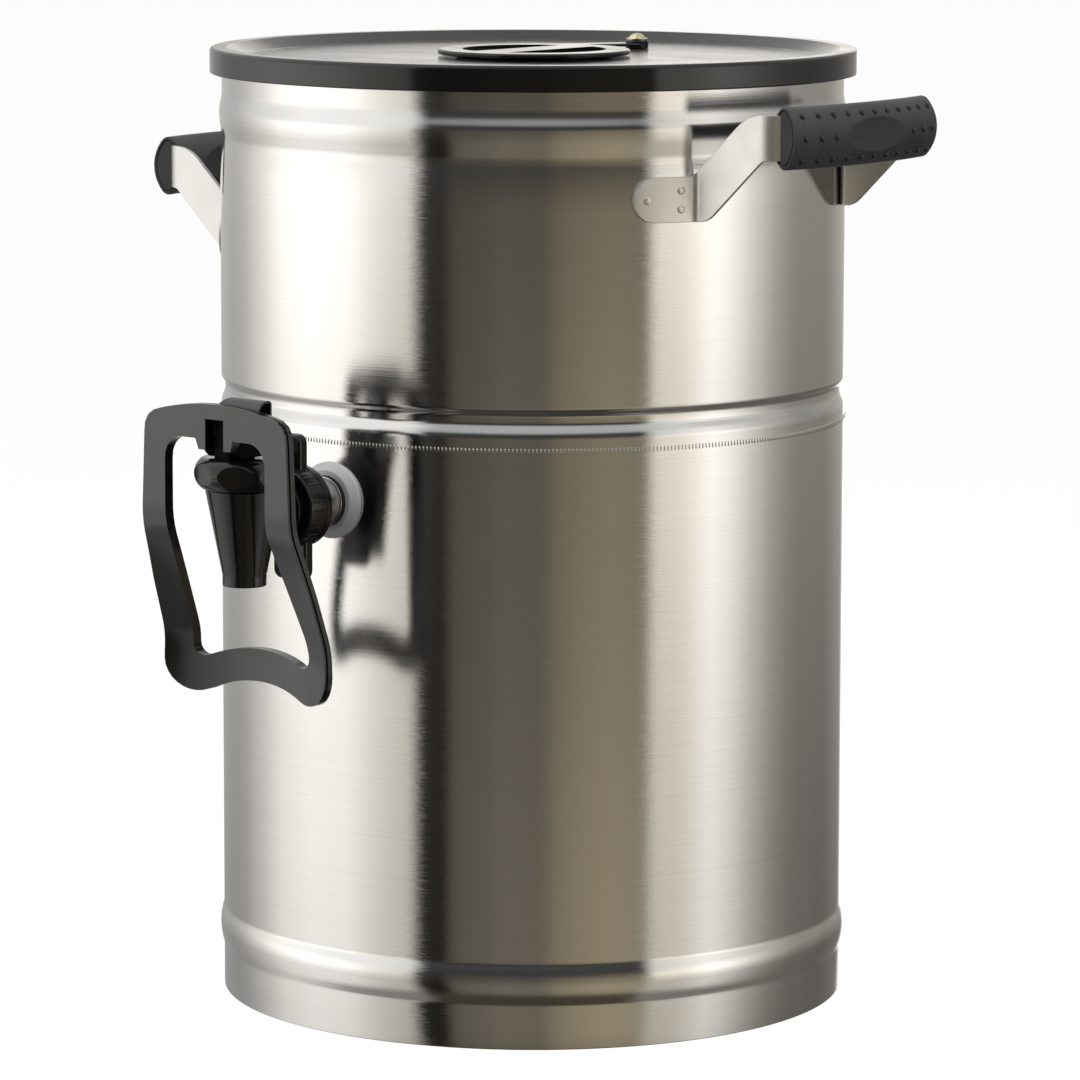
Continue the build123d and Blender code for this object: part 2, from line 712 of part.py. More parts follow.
def make_stem_parts():
    head_top_z = stem_head_z + stem_head_height
    stem = post(stem_radius, stem_foot_z, stem_head_z) + post(stem_head_radius, stem_head_z, head_top_z)
    seat_cup = post(seat_cup_radius, valve_seat_z, seat_cup_top_z)
    seat_cup -= post(stem_radius, stem_foot_z, seat_cup_top_z)
    coil_low = seat_cup_top_z + spring_wire_radius + spring_end_gap
    coil_height = roof_under_z - spring_wire_radius - spring_end_gap - coil_low
    coil = Helix(coil_height / spring_turns, coil_height, spring_coil_radius)
    wire = Plane(coil @ 0, z_dir=coil % 0) * Circle(spring_wire_radius)
    spring = Pos(0, 0, coil_low) * sweep(wire, path=coil, is_frenet=True)
    save("stem", on_spout * stem)
    save("seat_cup", on_spout * seat_cup)
    save("stem_spring", on_spout * spring)


os.makedirs("parts", exist_ok=True)
save("body_shell", make_body_shell())
save("tank_bottom", make_tank_bottom())
save("lid", make_lid())
save("swing_cover", make_swing_cover())
make_cover_pivot()
right_strap = make_strap_with_welds()
right_grip = make_grip()
left_side = Pos(0, 0, -left_handle_drop) * Rot(0, 0, 180)
save("handle_strap_right", right_strap)
save("handle_grip_right", right_grip)
save("handle_strap_left", left_side * right_strap)
save("handle_grip_left", left_side * right_grip)
make_shank_parts()
save("wing_nut", make_wing_nut())
save("faucet_body", make_faucet_body())
save("bonnet", make_bonnet())
save("lever", make_lever())
save("lever_pin", make_lever_pin())
make_stem_parts()
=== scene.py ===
import json
from math import acos, asin, atan2, cos, degrees, hypot, pi, radians, sin, sqrt, tan

import bpy
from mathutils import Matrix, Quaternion, Vector

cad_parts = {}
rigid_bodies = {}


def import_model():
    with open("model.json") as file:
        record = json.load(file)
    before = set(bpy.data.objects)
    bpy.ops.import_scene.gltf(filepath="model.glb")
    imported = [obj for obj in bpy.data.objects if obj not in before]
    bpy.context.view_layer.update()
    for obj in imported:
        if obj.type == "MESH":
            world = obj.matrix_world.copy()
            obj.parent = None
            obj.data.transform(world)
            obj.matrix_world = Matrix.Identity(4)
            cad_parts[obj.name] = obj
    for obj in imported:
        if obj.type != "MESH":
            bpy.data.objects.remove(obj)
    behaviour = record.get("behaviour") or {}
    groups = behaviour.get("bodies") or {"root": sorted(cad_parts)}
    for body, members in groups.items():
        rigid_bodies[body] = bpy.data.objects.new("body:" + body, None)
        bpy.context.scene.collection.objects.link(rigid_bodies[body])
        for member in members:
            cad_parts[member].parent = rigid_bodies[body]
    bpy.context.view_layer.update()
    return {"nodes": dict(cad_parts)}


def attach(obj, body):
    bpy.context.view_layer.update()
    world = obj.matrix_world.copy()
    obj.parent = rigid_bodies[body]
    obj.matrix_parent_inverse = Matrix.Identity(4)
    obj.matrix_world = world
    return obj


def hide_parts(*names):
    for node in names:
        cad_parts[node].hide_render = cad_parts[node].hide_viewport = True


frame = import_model()
nodes = frame["nodes"]
bpy.context.scene.view_settings.view_transform = "Standard"
mm = 0.001
print("frame loaded,", len(nodes), "nodes")


# tools

def startPiece(name):
    bpy.ops.object.select_all(action="DESELECT")
    bpy.ops.mesh.primitive_plane_add(size=mm)
    piece = bpy.context.object
    piece.name = piece.data.name = name
    bpy.ops.object.mode_set(mode="EDIT")
    bpy.ops.mesh.delete(type="VERT")  # the plane only opens the mesh
    return piece


def drawLine(points, closed=False):
    bpy.ops.mesh.select_all(action="DESELECT")
    bpy.ops.mesh.primitive_plane_add(size=mm, location=[v * mm for v in points[0]])
    bpy.ops.mesh.merge(type="CENTER")
    for start, end in zip(points, points[1:] + points[:1] if closed else points[1:]):
        step = [(b - a) * mm for a, b in zip(start, end)]
        bpy.ops.mesh.extrude_region_move(TRANSFORM_OT_translate={"value": step})
    bpy.ops.mesh.select_linked()
    bpy.ops.mesh.remove_doubles(threshold=1e-7)


def spinLine(points, steps, axis=(0, 0, 1), centre=(0, 0, 0), turn=2 * pi, closed=False):
    drawLine(points, closed)
    bpy.ops.mesh.spin(steps=steps, angle=turn, axis=axis, center=[v * mm for v in centre])


def pushOutline(points, push):
    drawLine(points, closed=True)
    bpy.ops.mesh.edge_face_add()
    bpy.ops.mesh.extrude_region_move(TRANSFORM_OT_translate={"value": [v * mm for v in push]})
    bpy.ops.mesh.select_linked()


def closeMesh():
    bpy.ops.mesh.select_all(action="SELECT")
    bpy.ops.mesh.remove_doubles(threshold=1e-6)
    bpy.ops.mesh.normals_make_consistent(inside=False)
    bpy.ops.object.mode_set(mode="OBJECT")


def selectFaces(piece, wanted):
    bpy.context.view_layer.objects.active = piece
    bpy.ops.object.mode_set(mode="EDIT")
    bpy.ops.mesh.select_mode(type="FACE")
    bpy.ops.mesh.select_all(action="DESELECT")
    bpy.ops.object.mode_set(mode="OBJECT")
    for face in piece.data.polygons:
        face.select = wanted(face)
    bpy.ops.object.mode_set(mode="EDIT")


def addModifier(piece, kind, **values):
    bpy.context.view_layer.objects.active = piece
    modifier = piece.modifiers.new(kind.lower(), kind)
    for key, value in values.items():
        setattr(modifier, key, value)
    bpy.ops.object.modifier_apply(modifier=modifier.name)


def bevelEdges(piece, width, segments=3, angle=35):
    addModifier(piece, "BEVEL", width=width * mm, segments=segments, limit_method="ANGLE",
                angle_limit=radians(angle), miter_outer="MITER_ARC")


def cutWith(piece, cutter):
    addModifier(piece, "BOOLEAN", object=cutter, operation="DIFFERENCE", solver="EXACT")
    bpy.data.objects.remove(cutter)


def joinPieces(pieces):
    bpy.ops.object.select_all(action="DESELECT")
    for piece in pieces:
        piece.select_set(True)
    bpy.context.view_layer.objects.active = pieces[0]
    bpy.ops.object.join()
    return pieces[0]


def finishPiece(piece, body, replaced, finish, angle=32, crisp=True):
    bpy.ops.object.select_all(action="DESELECT")
    piece.select_set(True)
    bpy.context.view_layer.objects.active = piece
    bpy.ops.object.shade_smooth_by_angle(angle=radians(angle))
    if crisp:  # flat faces stay flat right up to their rounded edges
        addModifier(piece, "WEIGHTED_NORMAL", keep_sharp=True)
    piece.data.materials.clear()
    piece.data.materials.append(finish)
    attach(piece, body)
    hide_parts(*replaced)
    print("made", piece.name, len(piece.data.polygons), "faces")


def softLine(corners, steps=5, closed=False):
    # corners are (a, b, round); a round of 0 stays sharp
    line = []
    count = len(corners)
    for index, (a, b, rounding) in enumerate(corners):
        if rounding == 0 or (not closed and index in (0, count - 1)):
            line.append((a, b))
            continue
        before, after = corners[index - 1], corners[(index + 1) % count]
        inward = Vector((before[0] - a, before[1] - b)).normalized()
        outward = Vector((after[0] - a, after[1] - b)).normalized()
        half = inward.angle(outward) / 2
        middle = (inward + outward).normalized()
        hub = Vector((a, b)) + middle * rounding / sin(half)
        first = atan2(*reversed(Vector((a, b)) + inward * rounding / tan(half) - hub))
        last = atan2(*reversed(Vector((a, b)) + outward * rounding / tan(half) - hub))
        sweep = (last - first + pi) % (2 * pi) - pi
        for step in range(steps + 1):
            turn = first + sweep * step / steps
            line.append((hub.x + rounding * cos(turn), hub.y + rounding * sin(turn)))
    return line


def arcPoints(centreA, centreB, radius, first, last, steps):
    turns = [radians(first + (last - first) * step / steps) for step in range(steps + 1)]
    return [(centreA + radius * cos(turn), centreB + radius * sin(turn)) for turn in turns]


def resample(points, count):
    # the same line in count equal steps
    marks = [0.0]
    for a, b in zip(points, points[1:]):
        marks.append(marks[-1] + hypot(b[0] - a[0], b[1] - a[1]))
    line = []
    for step in range(count + 1):
        want = marks[-1] * step / count
        index = max(i for i in range(len(marks) - 1) if marks[i] <= want + 1e-9)
        share = (want - marks[index]) / max(1e-9, marks[index + 1] - marks[index])
        a, b = points[index], points[index + 1]
        line.append((a[0] + (b[0] - a[0]) * share, a[1] + (b[1] - a[1]) * share))
    return line


def dressFaces(piece, finish, wanted):
    piece.data.materials.append(finish)
    for face in piece.data.polygons:
        if wanted(face):
            face.material_index = 1


def makeStud(radius, rise, segments=12):
    bpy.ops.object.select_all(action="DESELECT")
    bpy.ops.mesh.primitive_uv_sphere_add(segments=segments, ring_count=8, radius=mm)
    bpy.ops.transform.resize(value=(radius, radius, rise))
    bpy.ops.object.transform_apply(location=False, rotation=False, scale=True)
    return bpy.context.object


def scatterStuds(stud, places):
    # a copy at every (place, normal); the first stud goes
    copies = []
    for place, normal in places:
        copy = stud.copy()
        copy.data = stud.data.copy()
        bpy.context.collection.objects.link(copy)
        copy.location = place * mm
        copy.rotation_euler = normal.to_track_quat("Z", "Y").to_euler()
        copies.append(copy)
    bpy.data.objects.remove(stud)
    return copies


# finishes

def startFinish(name, color, roughness, metallic=0.0, **sockets):
    finish = bpy.data.materials.new(name)
    finish.use_nodes = True
    finish.diffuse_color = (*color, 1)
    tree = finish.node_tree
    shader = tree.nodes["Principled BSDF"]
    shader.inputs["Base Color"].default_value = (*color, 1)
    shader.inputs["Roughness"].default_value = roughness
    shader.inputs["Metallic"].default_value = metallic
    for socket, value in sockets.items():
        shader.inputs[socket.replace("_", " ")].default_value = value
    return finish, tree, shader


def stretchedNoise(tree, scale, stretch, detail=4.0, rough=0.6):
    place = tree.nodes.new("ShaderNodeTexCoord")
    spread = tree.nodes.new("ShaderNodeMapping")
    spread.inputs["Scale"].default_value = stretch
    noise = tree.nodes.new("ShaderNodeTexNoise")
    noise.inputs["Scale"].default_value = scale
    noise.inputs["Detail"].default_value = detail
    noise.inputs["Roughness"].default_value = rough
    tree.links.new(place.outputs["Object"], spread.inputs["Vector"])
    tree.links.new(spread.outputs["Vector"], noise.inputs["Vector"])
    return noise.outputs["Fac"]


def rampColor(tree, factor, low, high, start=0.3, end=0.7):
    ramp = tree.nodes.new("ShaderNodeValToRGB")
    ramp.color_ramp.elements[0].position = start
    ramp.color_ramp.elements[1].position = end
    ramp.color_ramp.elements[0].color = (*low, 1)
    ramp.color_ramp.elements[1].color = (*high, 1)
    tree.links.new(factor, ramp.inputs["Fac"])
    return ramp.outputs["Color"]


def rangeValue(tree, factor, low, high, start=0.3, end=0.7):
    spread = tree.nodes.new("ShaderNodeMapRange")
    for key, value in (("From Min", start), ("From Max", end), ("To Min", low), ("To Max", high)):
        spread.inputs[key].default_value = value
    tree.links.new(factor, spread.inputs["Value"])
    return spread.outputs["Result"]


def addBump(tree, shader, factor, strength):
    bump = tree.nodes.new("ShaderNodeBump")
    bump.inputs["Strength"].default_value = strength
    bump.inputs["Distance"].default_value = 0.0002
    tree.links.new(factor, bump.inputs["Height"])
    tree.links.new(bump.outputs["Normal"], shader.inputs["Normal"])


def combine(tree, operation, *values):
    node = tree.nodes.new("ShaderNodeMath")
    node.operation = operation
    for socket, value in zip(node.inputs, values):
        if isinstance(value, float):
            socket.default_value = value
        else:
            tree.links.new(value, socket)
    return node.outputs[0]


def brushedFinish(name, dark, light, roughness, stretch, grain=0.0, turn=0.0, aniso=0.0, spread=0.05):
    finish, tree, shader = startFinish(name, light, roughness, 1.0, Anisotropic=aniso,
                                       Anisotropic_Rotation=turn)
    lines = stretchedNoise(tree, 1.0, stretch, 3.0, 0.7)
    clouds = stretchedNoise(tree, 9.0, (1, 1, 1), 2.0)
    tone = combine(tree, "MULTIPLY_ADD", lines, 0.75, rangeValue(tree, clouds, 0.0, 0.25))
    tree.links.new(rampColor(tree, tone, dark, light), shader.inputs["Base Color"])
    gloss = rangeValue(tree, lines, roughness - spread, roughness + spread)
    tree.links.new(gloss, shader.inputs["Roughness"])
    addBump(tree, shader, lines, grain)
    tangent = tree.nodes.new("ShaderNodeTangent")
    tangent.direction_type = "RADIAL"
    tangent.axis = "Z"
    tree.links.new(tangent.outputs["Tangent"], shader.inputs["Tangent"])
    return finish


def mouldedFinish(name, color, lighter, roughness, grainScale, grain, specular=0.5):
    finish, tree, shader = startFinish(name, color, roughness, Specular_IOR_Level=specular)
    fine = stretchedNoise(tree, grainScale, (1, 1, 1), 2.0)
    clouds = stretchedNoise(tree, 35.0, (1, 1, 1), 3.0)
    tree.links.new(rampColor(tree, clouds, color, lighter), shader.inputs["Base Color"])
    gloss = rangeValue(tree, clouds, roughness - 0.03, roughness + 0.05)
    tree.links.new(gloss, shader.inputs["Roughness"])
    addBump(tree, shader, fine, grain)
    return finish


shellSteel = brushedFinish("shellSteel", (0.63, 0.62, 0.60), (0.69, 0.68, 0.66), 0.095, (5, 5, 4200),
                           grain=0.09, turn=0.25, aniso=1.0, spread=0.015)
strapSteel = brushedFinish("strapSteel", (0.72, 0.70, 0.665), (0.785, 0.765, 0.73), 0.4, (55, 55, 55))
# painted shade: the left strap's darker copy of the strap finish
strapPaintedShade = brushedFinish("strapPaintedShade", (0.61, 0.60, 0.58), (0.67, 0.66, 0.64), 0.4, (55, 55, 55))
turnedSteel = brushedFinish("turnedSteel", (0.36, 0.36, 0.36), (0.58, 0.58, 0.57), 0.24, (40, 1800, 40),
                            grain=0.1)
pivotBrass = brushedFinish("pivotBrass", (0.62, 0.52, 0.30), (0.92, 0.82, 0.58), 0.2, (600, 600, 600),
                           grain=0.05)
lidGloss = mouldedFinish("lidGloss", (0.0025, 0.0024, 0.0022), (0.004, 0.0039, 0.0036), 0.1, 2600.0, 0.02)
lidGrain = mouldedFinish("lidGrain", (0.006, 0.0058, 0.0055), (0.009, 0.0087, 0.0083), 0.2, 2600.0, 0.06)
gripRubber = mouldedFinish("gripRubber", (0.029, 0.029, 0.0297), (0.044, 0.044, 0.0449), 0.5, 1800.0, 0.15,
                           specular=0.15)
nubRubber = mouldedFinish("nubRubber", (0.005, 0.005, 0.005), (0.008, 0.008, 0.008), 0.3, 1800.0, 0.05,
                          specular=0.6)
leverBlack = mouldedFinish("leverBlack", (0.0035, 0.0035, 0.0034), (0.0055, 0.0055, 0.0053), 0.17, 1500.0,
                           0.05, specular=0.78)
faucetBlack = mouldedFinish("faucetBlack", (0.003, 0.0028, 0.0025), (0.005, 0.0047, 0.0044), 0.14, 900.0,
                            0.02)
# painted shade: a darker, nearly unreflecting black for the shaded lug, gland, fork, slot walls and edge
# groove
paintedShadeBlack = mouldedFinish("paintedShadeBlack", (0.002, 0.002, 0.002), (0.0035, 0.0035, 0.0035), 0.6, 900.0, 0.02,
                         specular=0.06)
seatRubber = mouldedFinish("seatRubber", (0.006, 0.006, 0.006), (0.01, 0.01, 0.01), 0.5, 1500.0, 0.1,
                           specular=0.3)
washerWhite = mouldedFinish("washerWhite", (0.30, 0.30, 0.297), (0.37, 0.37, 0.363), 0.4, 1200.0, 0.05)
print("finishes ready")


# shell: one spun sheet from the folded foot to the rolled rim, with the dots of the tank's seam weld

shellSizes = dict(radius=140.0, sheet=0.9, neckRadius=139.2, rollRadius=1.9, top=422.5, hem=9.0, steps=192,
                  foldSteps=24,  # each fold is (soft edge, straight slope, soft crest) along the wall
                  beadZ=28.5, bead=(1.7, 2.0, 6.4), beadRise=1.5,
                  grooveLow=265.4, grooveLower=(4.9, 0.0, 2.5), grooveTop=279.0, grooveUpper=(1.9, 0.4, 1.9),
                  grooveDepth=1.7, waistLow=362.0, waist=(19.0, 0.0, 3.0), waistDepth=0.72,
                  shoulder=(2.2, 3.6, 6.7), shoulderRise=0.38, neckLow=405.7, neck=(4.6, 1.8, 2.8),
                  weldZ=260.8, weldPitch=1.7, weldDot=(0.42, 0.38, 1.15))


def foldLine(base, start, stretches, rise, way):
    # one flank of a bead or groove: soft edge, straight slope, soft crest; way is 1 up or -1 down
    edge, slope, crest = stretches
    lean = rise / (edge / 2 + slope + crest / 2)
    length = edge + slope + crest
    line = []
    for step in range(shellSizes["foldSteps"] + 1):
        t = length * step / shellSizes["foldSteps"]
        if t < edge:
            away = lean * t * t / (2 * edge)
        elif t < edge + slope:
            away = lean * (t - edge / 2)
        else:
            away = rise - lean * (length - t) ** 2 / (2 * crest)
        line.append((base + away, start + way * t))
    return line


def shellWall():
    # bottom bead, mid groove, slight waist under the shoulder, shoulder and neck
    s = shellSizes
    r, half = s["radius"], sum(s["bead"])
    line = foldLine(r, s["beadZ"] - half, s["bead"], s["beadRise"], 1)
    line += foldLine(r, s["beadZ"] + half, s["bead"], s["beadRise"], -1)[-2::-1]
    line += foldLine(r, s["grooveLow"], s["grooveLower"], -s["grooveDepth"], 1)
    line += foldLine(r, s["grooveTop"], s["grooveUpper"], -s["grooveDepth"], -1)[::-1]
    line += foldLine(r, s["waistLow"], s["waist"], -s["waistDepth"], 1)
    climb = s["waistDepth"] + s["shoulderRise"]
    line += foldLine(r - s["waistDepth"], line[-1][1], s["shoulder"], climb, 1)[1:]
    fall = r + s["shoulderRise"] - s["neckRadius"]
    return line + foldLine(s["neckRadius"], s["neckLow"], s["neck"], fall, -1)[::-1]


def makeWeld():
    s = shellSizes
    count = round(2 * pi * s["radius"] / s["weldPitch"])
    weld = startPiece("seamWeld")
    bpy.ops.mesh.primitive_uv_sphere_add(segments=6, ring_count=4, radius=mm)
    bpy.ops.transform.resize(value=s["weldDot"])
    bpy.ops.transform.translate(value=(s["radius"] * mm, 0, s["weldZ"] * mm))
    turn = 2 * pi * (count - 1) / count
    bpy.ops.mesh.spin(steps=count - 1, dupli=True, angle=turn, axis=(0, 0, 1), center=(0, 0, 0))
    bpy.ops.object.mode_set(mode="OBJECT")
    return weld


def makeShell():
    s = shellSizes
    outside = shellWall()
    inside = [(r - s["sheet"], z) for r, z in reversed(outside) if z > s["hem"] + 1]
    rollR = s["neckRadius"] - s["sheet"] + s["rollRadius"]
    rollZ = s["top"] - s["rollRadius"]
    rollStart = -degrees(acos(s["sheet"] / s["rollRadius"] - 1))  # where the roll leaves the neck
    roll = arcPoints(rollR, rollZ, s["rollRadius"], rollStart, 180, 22)
    wallIn, hemIn = s["radius"] - s["sheet"], s["radius"] - 2 * s["sheet"]
    foot = softLine([(wallIn, s["beadZ"], 0), (wallIn, s["hem"] + 0.5, 0.3), (hemIn, s["hem"], 0.25),
                     (hemIn, 0, 0.4), (s["radius"], 0, 0.4), (s["radius"], s["beadZ"], 0)], 3)
    line = outside + roll + inside + foot[1:-1]
    shell = startPiece("bodyShell")
    spinLine([(r, 0, z) for r, z in line], s["steps"], closed=True)
    closeMesh()
    shell = joinPieces([shell, makeWeld()])
    finishPiece(shell, "urn", ["body_shell"], shellSteel, 50, crisp=False)


makeShell()


# lid and swing cover

lidSizes = dict(outer=144.48, inner=142.5, rimTop=424.5, plane=420.2, wall=2.0, skirt=413.2, rimInner=137.0,
                slopeFoot=127.5, hole=30.0, underCorner=137.43, underSlope=9.5, steps=192,
                ventRadius=1.4, ventR=121.5, ventTurn=215.0)


def makeLid():
    s = lidSizes
    under = s["plane"] - s["wall"]
    top = s["rimTop"] - s["wall"]
    line = softLine([
        (s["hole"], under, 0.4), (s["underCorner"] - s["underSlope"], under, 2.0),
        (s["underCorner"], top, 1.5), (s["inner"], top, 0.8), (s["inner"], s["skirt"], 0.5),
        (s["outer"], s["skirt"], 0.6), (s["outer"], s["rimTop"], 1.8), (s["rimInner"], s["rimTop"], 1.6),
        (s["slopeFoot"], s["plane"], 3.0), (s["hole"], s["plane"], 0.4)], 5, closed=True)
    lid = startPiece("lidPlate")
    spinLine([(r, 0, z) for r, z in line], s["steps"], closed=True)
    closeMesh()
    bpy.ops.object.select_all(action="DESELECT")
    turn = radians(s["ventTurn"])
    vent = Vector((s["ventR"] * cos(turn), s["ventR"] * sin(turn), s["plane"]))
    bpy.ops.mesh.primitive_cylinder_add(vertices=24, radius=s["ventRadius"] * mm, depth=10 * s["wall"] * mm,
                                        location=vent * mm)
    cutWith(lid, bpy.context.object)
    finishPiece(lid, "lid", ["lid"], lidGloss, 40)
    dressFaces(lid, lidGrain, lambda face: face.normal.z > 0.6)


coverSizes = dict(radius=43.0, well=32.0, foot=34.6, footZ=420.35, flangeZ=421.3, top=423.5, floor=1.2,
                  bar=18.0, pocketRound=0.7, pocketSteps=40, pivot=(-2.0, 78.0), boss=5.2, bossTop=423.9,
                  bossSteps=20, armRoot=4.0, armLift=0.15, armThick=1.4, armRound=0.6, steps=128)


def coverPocket(side):
    # half-moon cutter beside the grip bar
    s = coverSizes
    start = asin((s["bar"] / 2) / s["well"])
    line = []
    for step in range(s["pocketSteps"] + 1):
        turn = start + (pi - 2 * start) * step / s["pocketSteps"]
        line.append((side * s["well"] * sin(turn), s["well"] * cos(turn)))
    low = s["footZ"] + s["floor"]
    cutter = startPiece("pocket")
    pushOutline([(x, y, low) for x, y in line], (0, 0, 2 * (s["top"] - low)))
    closeMesh()
    return cutter


def makeCover():
    s = coverSizes
    line = softLine([(0, s["footZ"], 0), (s["foot"], s["footZ"], 0.3), (s["foot"], s["flangeZ"], 0.3),
                     (s["radius"], s["flangeZ"], 0.5), (s["radius"], s["top"], 1.0), (0, s["top"], 0)], 5)
    cover = startPiece("swingCover")
    spinLine([(r, 0, z) for r, z in line], s["steps"])
    closeMesh()
    for side in (1, -1):
        cutWith(cover, coverPocket(side))
    # arm along the tangent of disc and boss, then the boss
    px, py = s["pivot"]
    offset = s["radius"] - s["boss"]
    lean = atan2(py, px) + atan2(sqrt(px * px + py * py - offset * offset), offset)
    root = Vector((offset * cos(lean), offset * sin(lean)))
    along = (Vector((px, py)) - root).normalized()
    across = Vector((cos(lean), sin(lean))) * s["boss"]
    start = root - along * s["armRoot"]
    bossTurn = atan2(across.y, across.x)
    line = [start + across]
    for step in range(s["bossSteps"] + 1):
        turn = bossTurn - pi * step / s["bossSteps"]
        line.append(Vector((px, py)) + Vector((cos(turn), sin(turn))) * s["boss"])
    line.append(start - across)
    arm = startPiece("coverArm")
    pushOutline([(p.x, p.y, s["flangeZ"] + s["armLift"]) for p in line], (0, 0, s["armThick"]))
    closeMesh()
    bevelEdges(arm, s["armRound"])
    boss = startPiece("coverBoss")
    ring = softLine([(0, s["footZ"], 0), (s["boss"], s["footZ"], 0.3), (s["boss"], s["bossTop"], 0.6),
                     (0, s["bossTop"], 0)], 4)
    spinLine([(px + r, py, z) for r, z in ring], 48, centre=(px, py, 0))
    closeMesh()
    bevelEdges(cover, s["pocketRound"], 3, 50)
    cover = joinPieces([cover, arm, boss])
    finishPiece(cover, "cover", ["swing_cover"], lidGloss, 40)
    dressFaces(cover, lidGrain, lambda face: face.normal.z > 0.6)


makeLid()
makeCover()


# handle grips: bowed rubber sleeve with raised nubs

gripSizes = dict(bowRadius=220.0, bowCentre=-41.58, barZ=394.4, halfLength=50.5, leftDrop=29.0, bowSteps=44,
                 # section arcs: centre, radius, half sweep; the corner has (out, up), radius and its sweep
                 outer=(-8.6, 18.1, 41.2), inner=(9.36, 15.86, 51.6), corner=(2.0, 9.3, 4.0, 50, 120),
                 endRound=0.9, endGroove=((0.25, 0.0), (0.35, -0.6), (0.3, 0.0), (0.35, 0.5)), endArea=200.0,
                 nubRadius=1.45, nubRise=1.05, nubPitch=9.4, nubEnd=5, thumbGap=3, rowTurn=32.0,
                 # ball cutters: centre out from the strap, then half sizes out, along and up
                 thumb=(37.6, 30.0, 82.6, 49.2), palm=(-23.6, 20.0, 44.7, 50.0))


def gripPlace(a, along, height=0.0):
    # a point of the sleeve: a out from the strap's middle, along the bow in radians
    s = gripSizes
    reach = s["bowRadius"] + a
    return Vector((s["bowCentre"] + reach * cos(along), reach * sin(along), s["barZ"] + height))


def ovalCutter(a, thick, long, high):
    bpy.ops.object.select_all(action="DESELECT")
    bpy.ops.mesh.primitive_uv_sphere_add(segments=192, ring_count=96, radius=mm,
                                         location=gripPlace(a, 0) * mm)
    bpy.ops.transform.resize(value=(thick, long, high))
    bpy.ops.object.transform_apply(location=True, rotation=True, scale=True)
    return bpy.context.object


def makeGrip():
    s = gripSizes
    spread = asin(s["halfLength"] / s["bowRadius"])
    outerA, outerR, outerTurn = s["outer"]
    innerA, innerR, innerTurn = s["inner"]
    cornerA, cornerB, cornerR, first, last = s["corner"]
    section = arcPoints(outerA, 0, outerR, -outerTurn, outerTurn, 24)
    section += arcPoints(cornerA, cornerB, cornerR, first, last, 7)
    section += arcPoints(innerA, 0, innerR, 180 - innerTurn, 180 + innerTurn, 24)
    section += arcPoints(cornerA, -cornerB, cornerR, 360 - last, 360 - first, 7)
    grip = startPiece("gripRight")
    spinLine([tuple(gripPlace(a, spread, b)) for a, b in section], s["bowSteps"],
             centre=(s["bowCentre"], 0, 0), turn=2 * spread, closed=True)
    bpy.ops.mesh.select_all(action="SELECT")
    bpy.ops.mesh.remove_doubles(threshold=1e-7)
    bpy.ops.mesh.select_all(action="DESELECT")
    bpy.ops.mesh.select_non_manifold()
    bpy.ops.mesh.fill_holes(sides=0)
    closeMesh()
    bevelEdges(grip, s["endRound"], 4, 60)
    # a shallow groove round each end face
    selectFaces(grip, lambda face: face.area > s["endArea"] * mm * mm)
    for width, depth in s["endGroove"]:
        bpy.ops.mesh.inset(thickness=width * mm, depth=depth * mm, use_individual=True)
    bpy.ops.mesh.select_mode(type="VERT")
    bpy.ops.object.mode_set(mode="OBJECT")
    cutWith(grip, ovalCutter(*s["thumb"]))
    cutWith(grip, ovalCutter(*s["palm"]))
    # nubs: two full rows, and the ends of the middle row
    steps = range(-s["nubEnd"], s["nubEnd"] + 1)
    spots = [(row * radians(s["rowTurn"]), step) for row in (1, -1) for step in steps]
    spots += [(0.0, step) for step in steps if abs(step) >= s["thumbGap"]]
    nubs = []
    for turn, step in spots:
        along = step * s["nubPitch"] / (s["bowRadius"] + outerA + outerR)
        place = gripPlace(outerA + outerR * cos(turn), along, outerR * sin(turn))
        nubs.append((place, Vector((cos(along) * cos(turn), sin(along) * cos(turn), sin(turn)))))
    plain = len(grip.data.polygons)
    copies = scatterStuds(makeStud(s["nubRadius"], s["nubRise"]), nubs)
    return joinPieces([grip] + copies), plain


def makeLeftCopy(right, name):
    # the left handle is the right one turned half round and set lower
    left = right.copy()
    left.data = right.data.copy()
    left.name = left.data.name = name
    bpy.context.collection.objects.link(left)
    bpy.ops.object.select_all(action="DESELECT")
    left.select_set(True)
    bpy.context.view_layer.objects.active = left
    left.rotation_euler = (0, 0, pi)
    left.location = (0, 0, -gripSizes["leftDrop"] * mm)
    bpy.ops.object.transform_apply(location=True, rotation=True, scale=True)
    return left


rightGrip, plainFaces = makeGrip()
leftGrip = makeLeftCopy(rightGrip, "gripLeft")
for grip, node in ((rightGrip, "handle_grip_right"), (leftGrip, "handle_grip_left")):
    finishPiece(grip, "urn", [node], gripRubber, 18, crisp=False)
    dressFaces(grip, nubRubber, lambda face: face.index >= plainFaces)


# handle straps: a strip cut to shape, folded into tabs, legs and bowed bar, spot-welded by three pips a tab

strapSizes = dict(width=19.3, thick=2.0, tabZ=366.9, tabReach=79.3, tabStart=2.0, legHalf=53.5, seat=141.05,
                  rise=27.5, footX=137.03, slope=43.5, footRound=11.0, headRound=4.0, heelRound=2.0,
                  shoulderRound=20.0, farX=230.0, bowDegrees=11, bend=9.5, crease=4.0, creaseTurn=1.9,
                  edge=0.4, steps=240, pipRadius=1.8, pipRise=0.38, pipEnd=5.6, pipLeg=7.0, pipSpread=4.0)


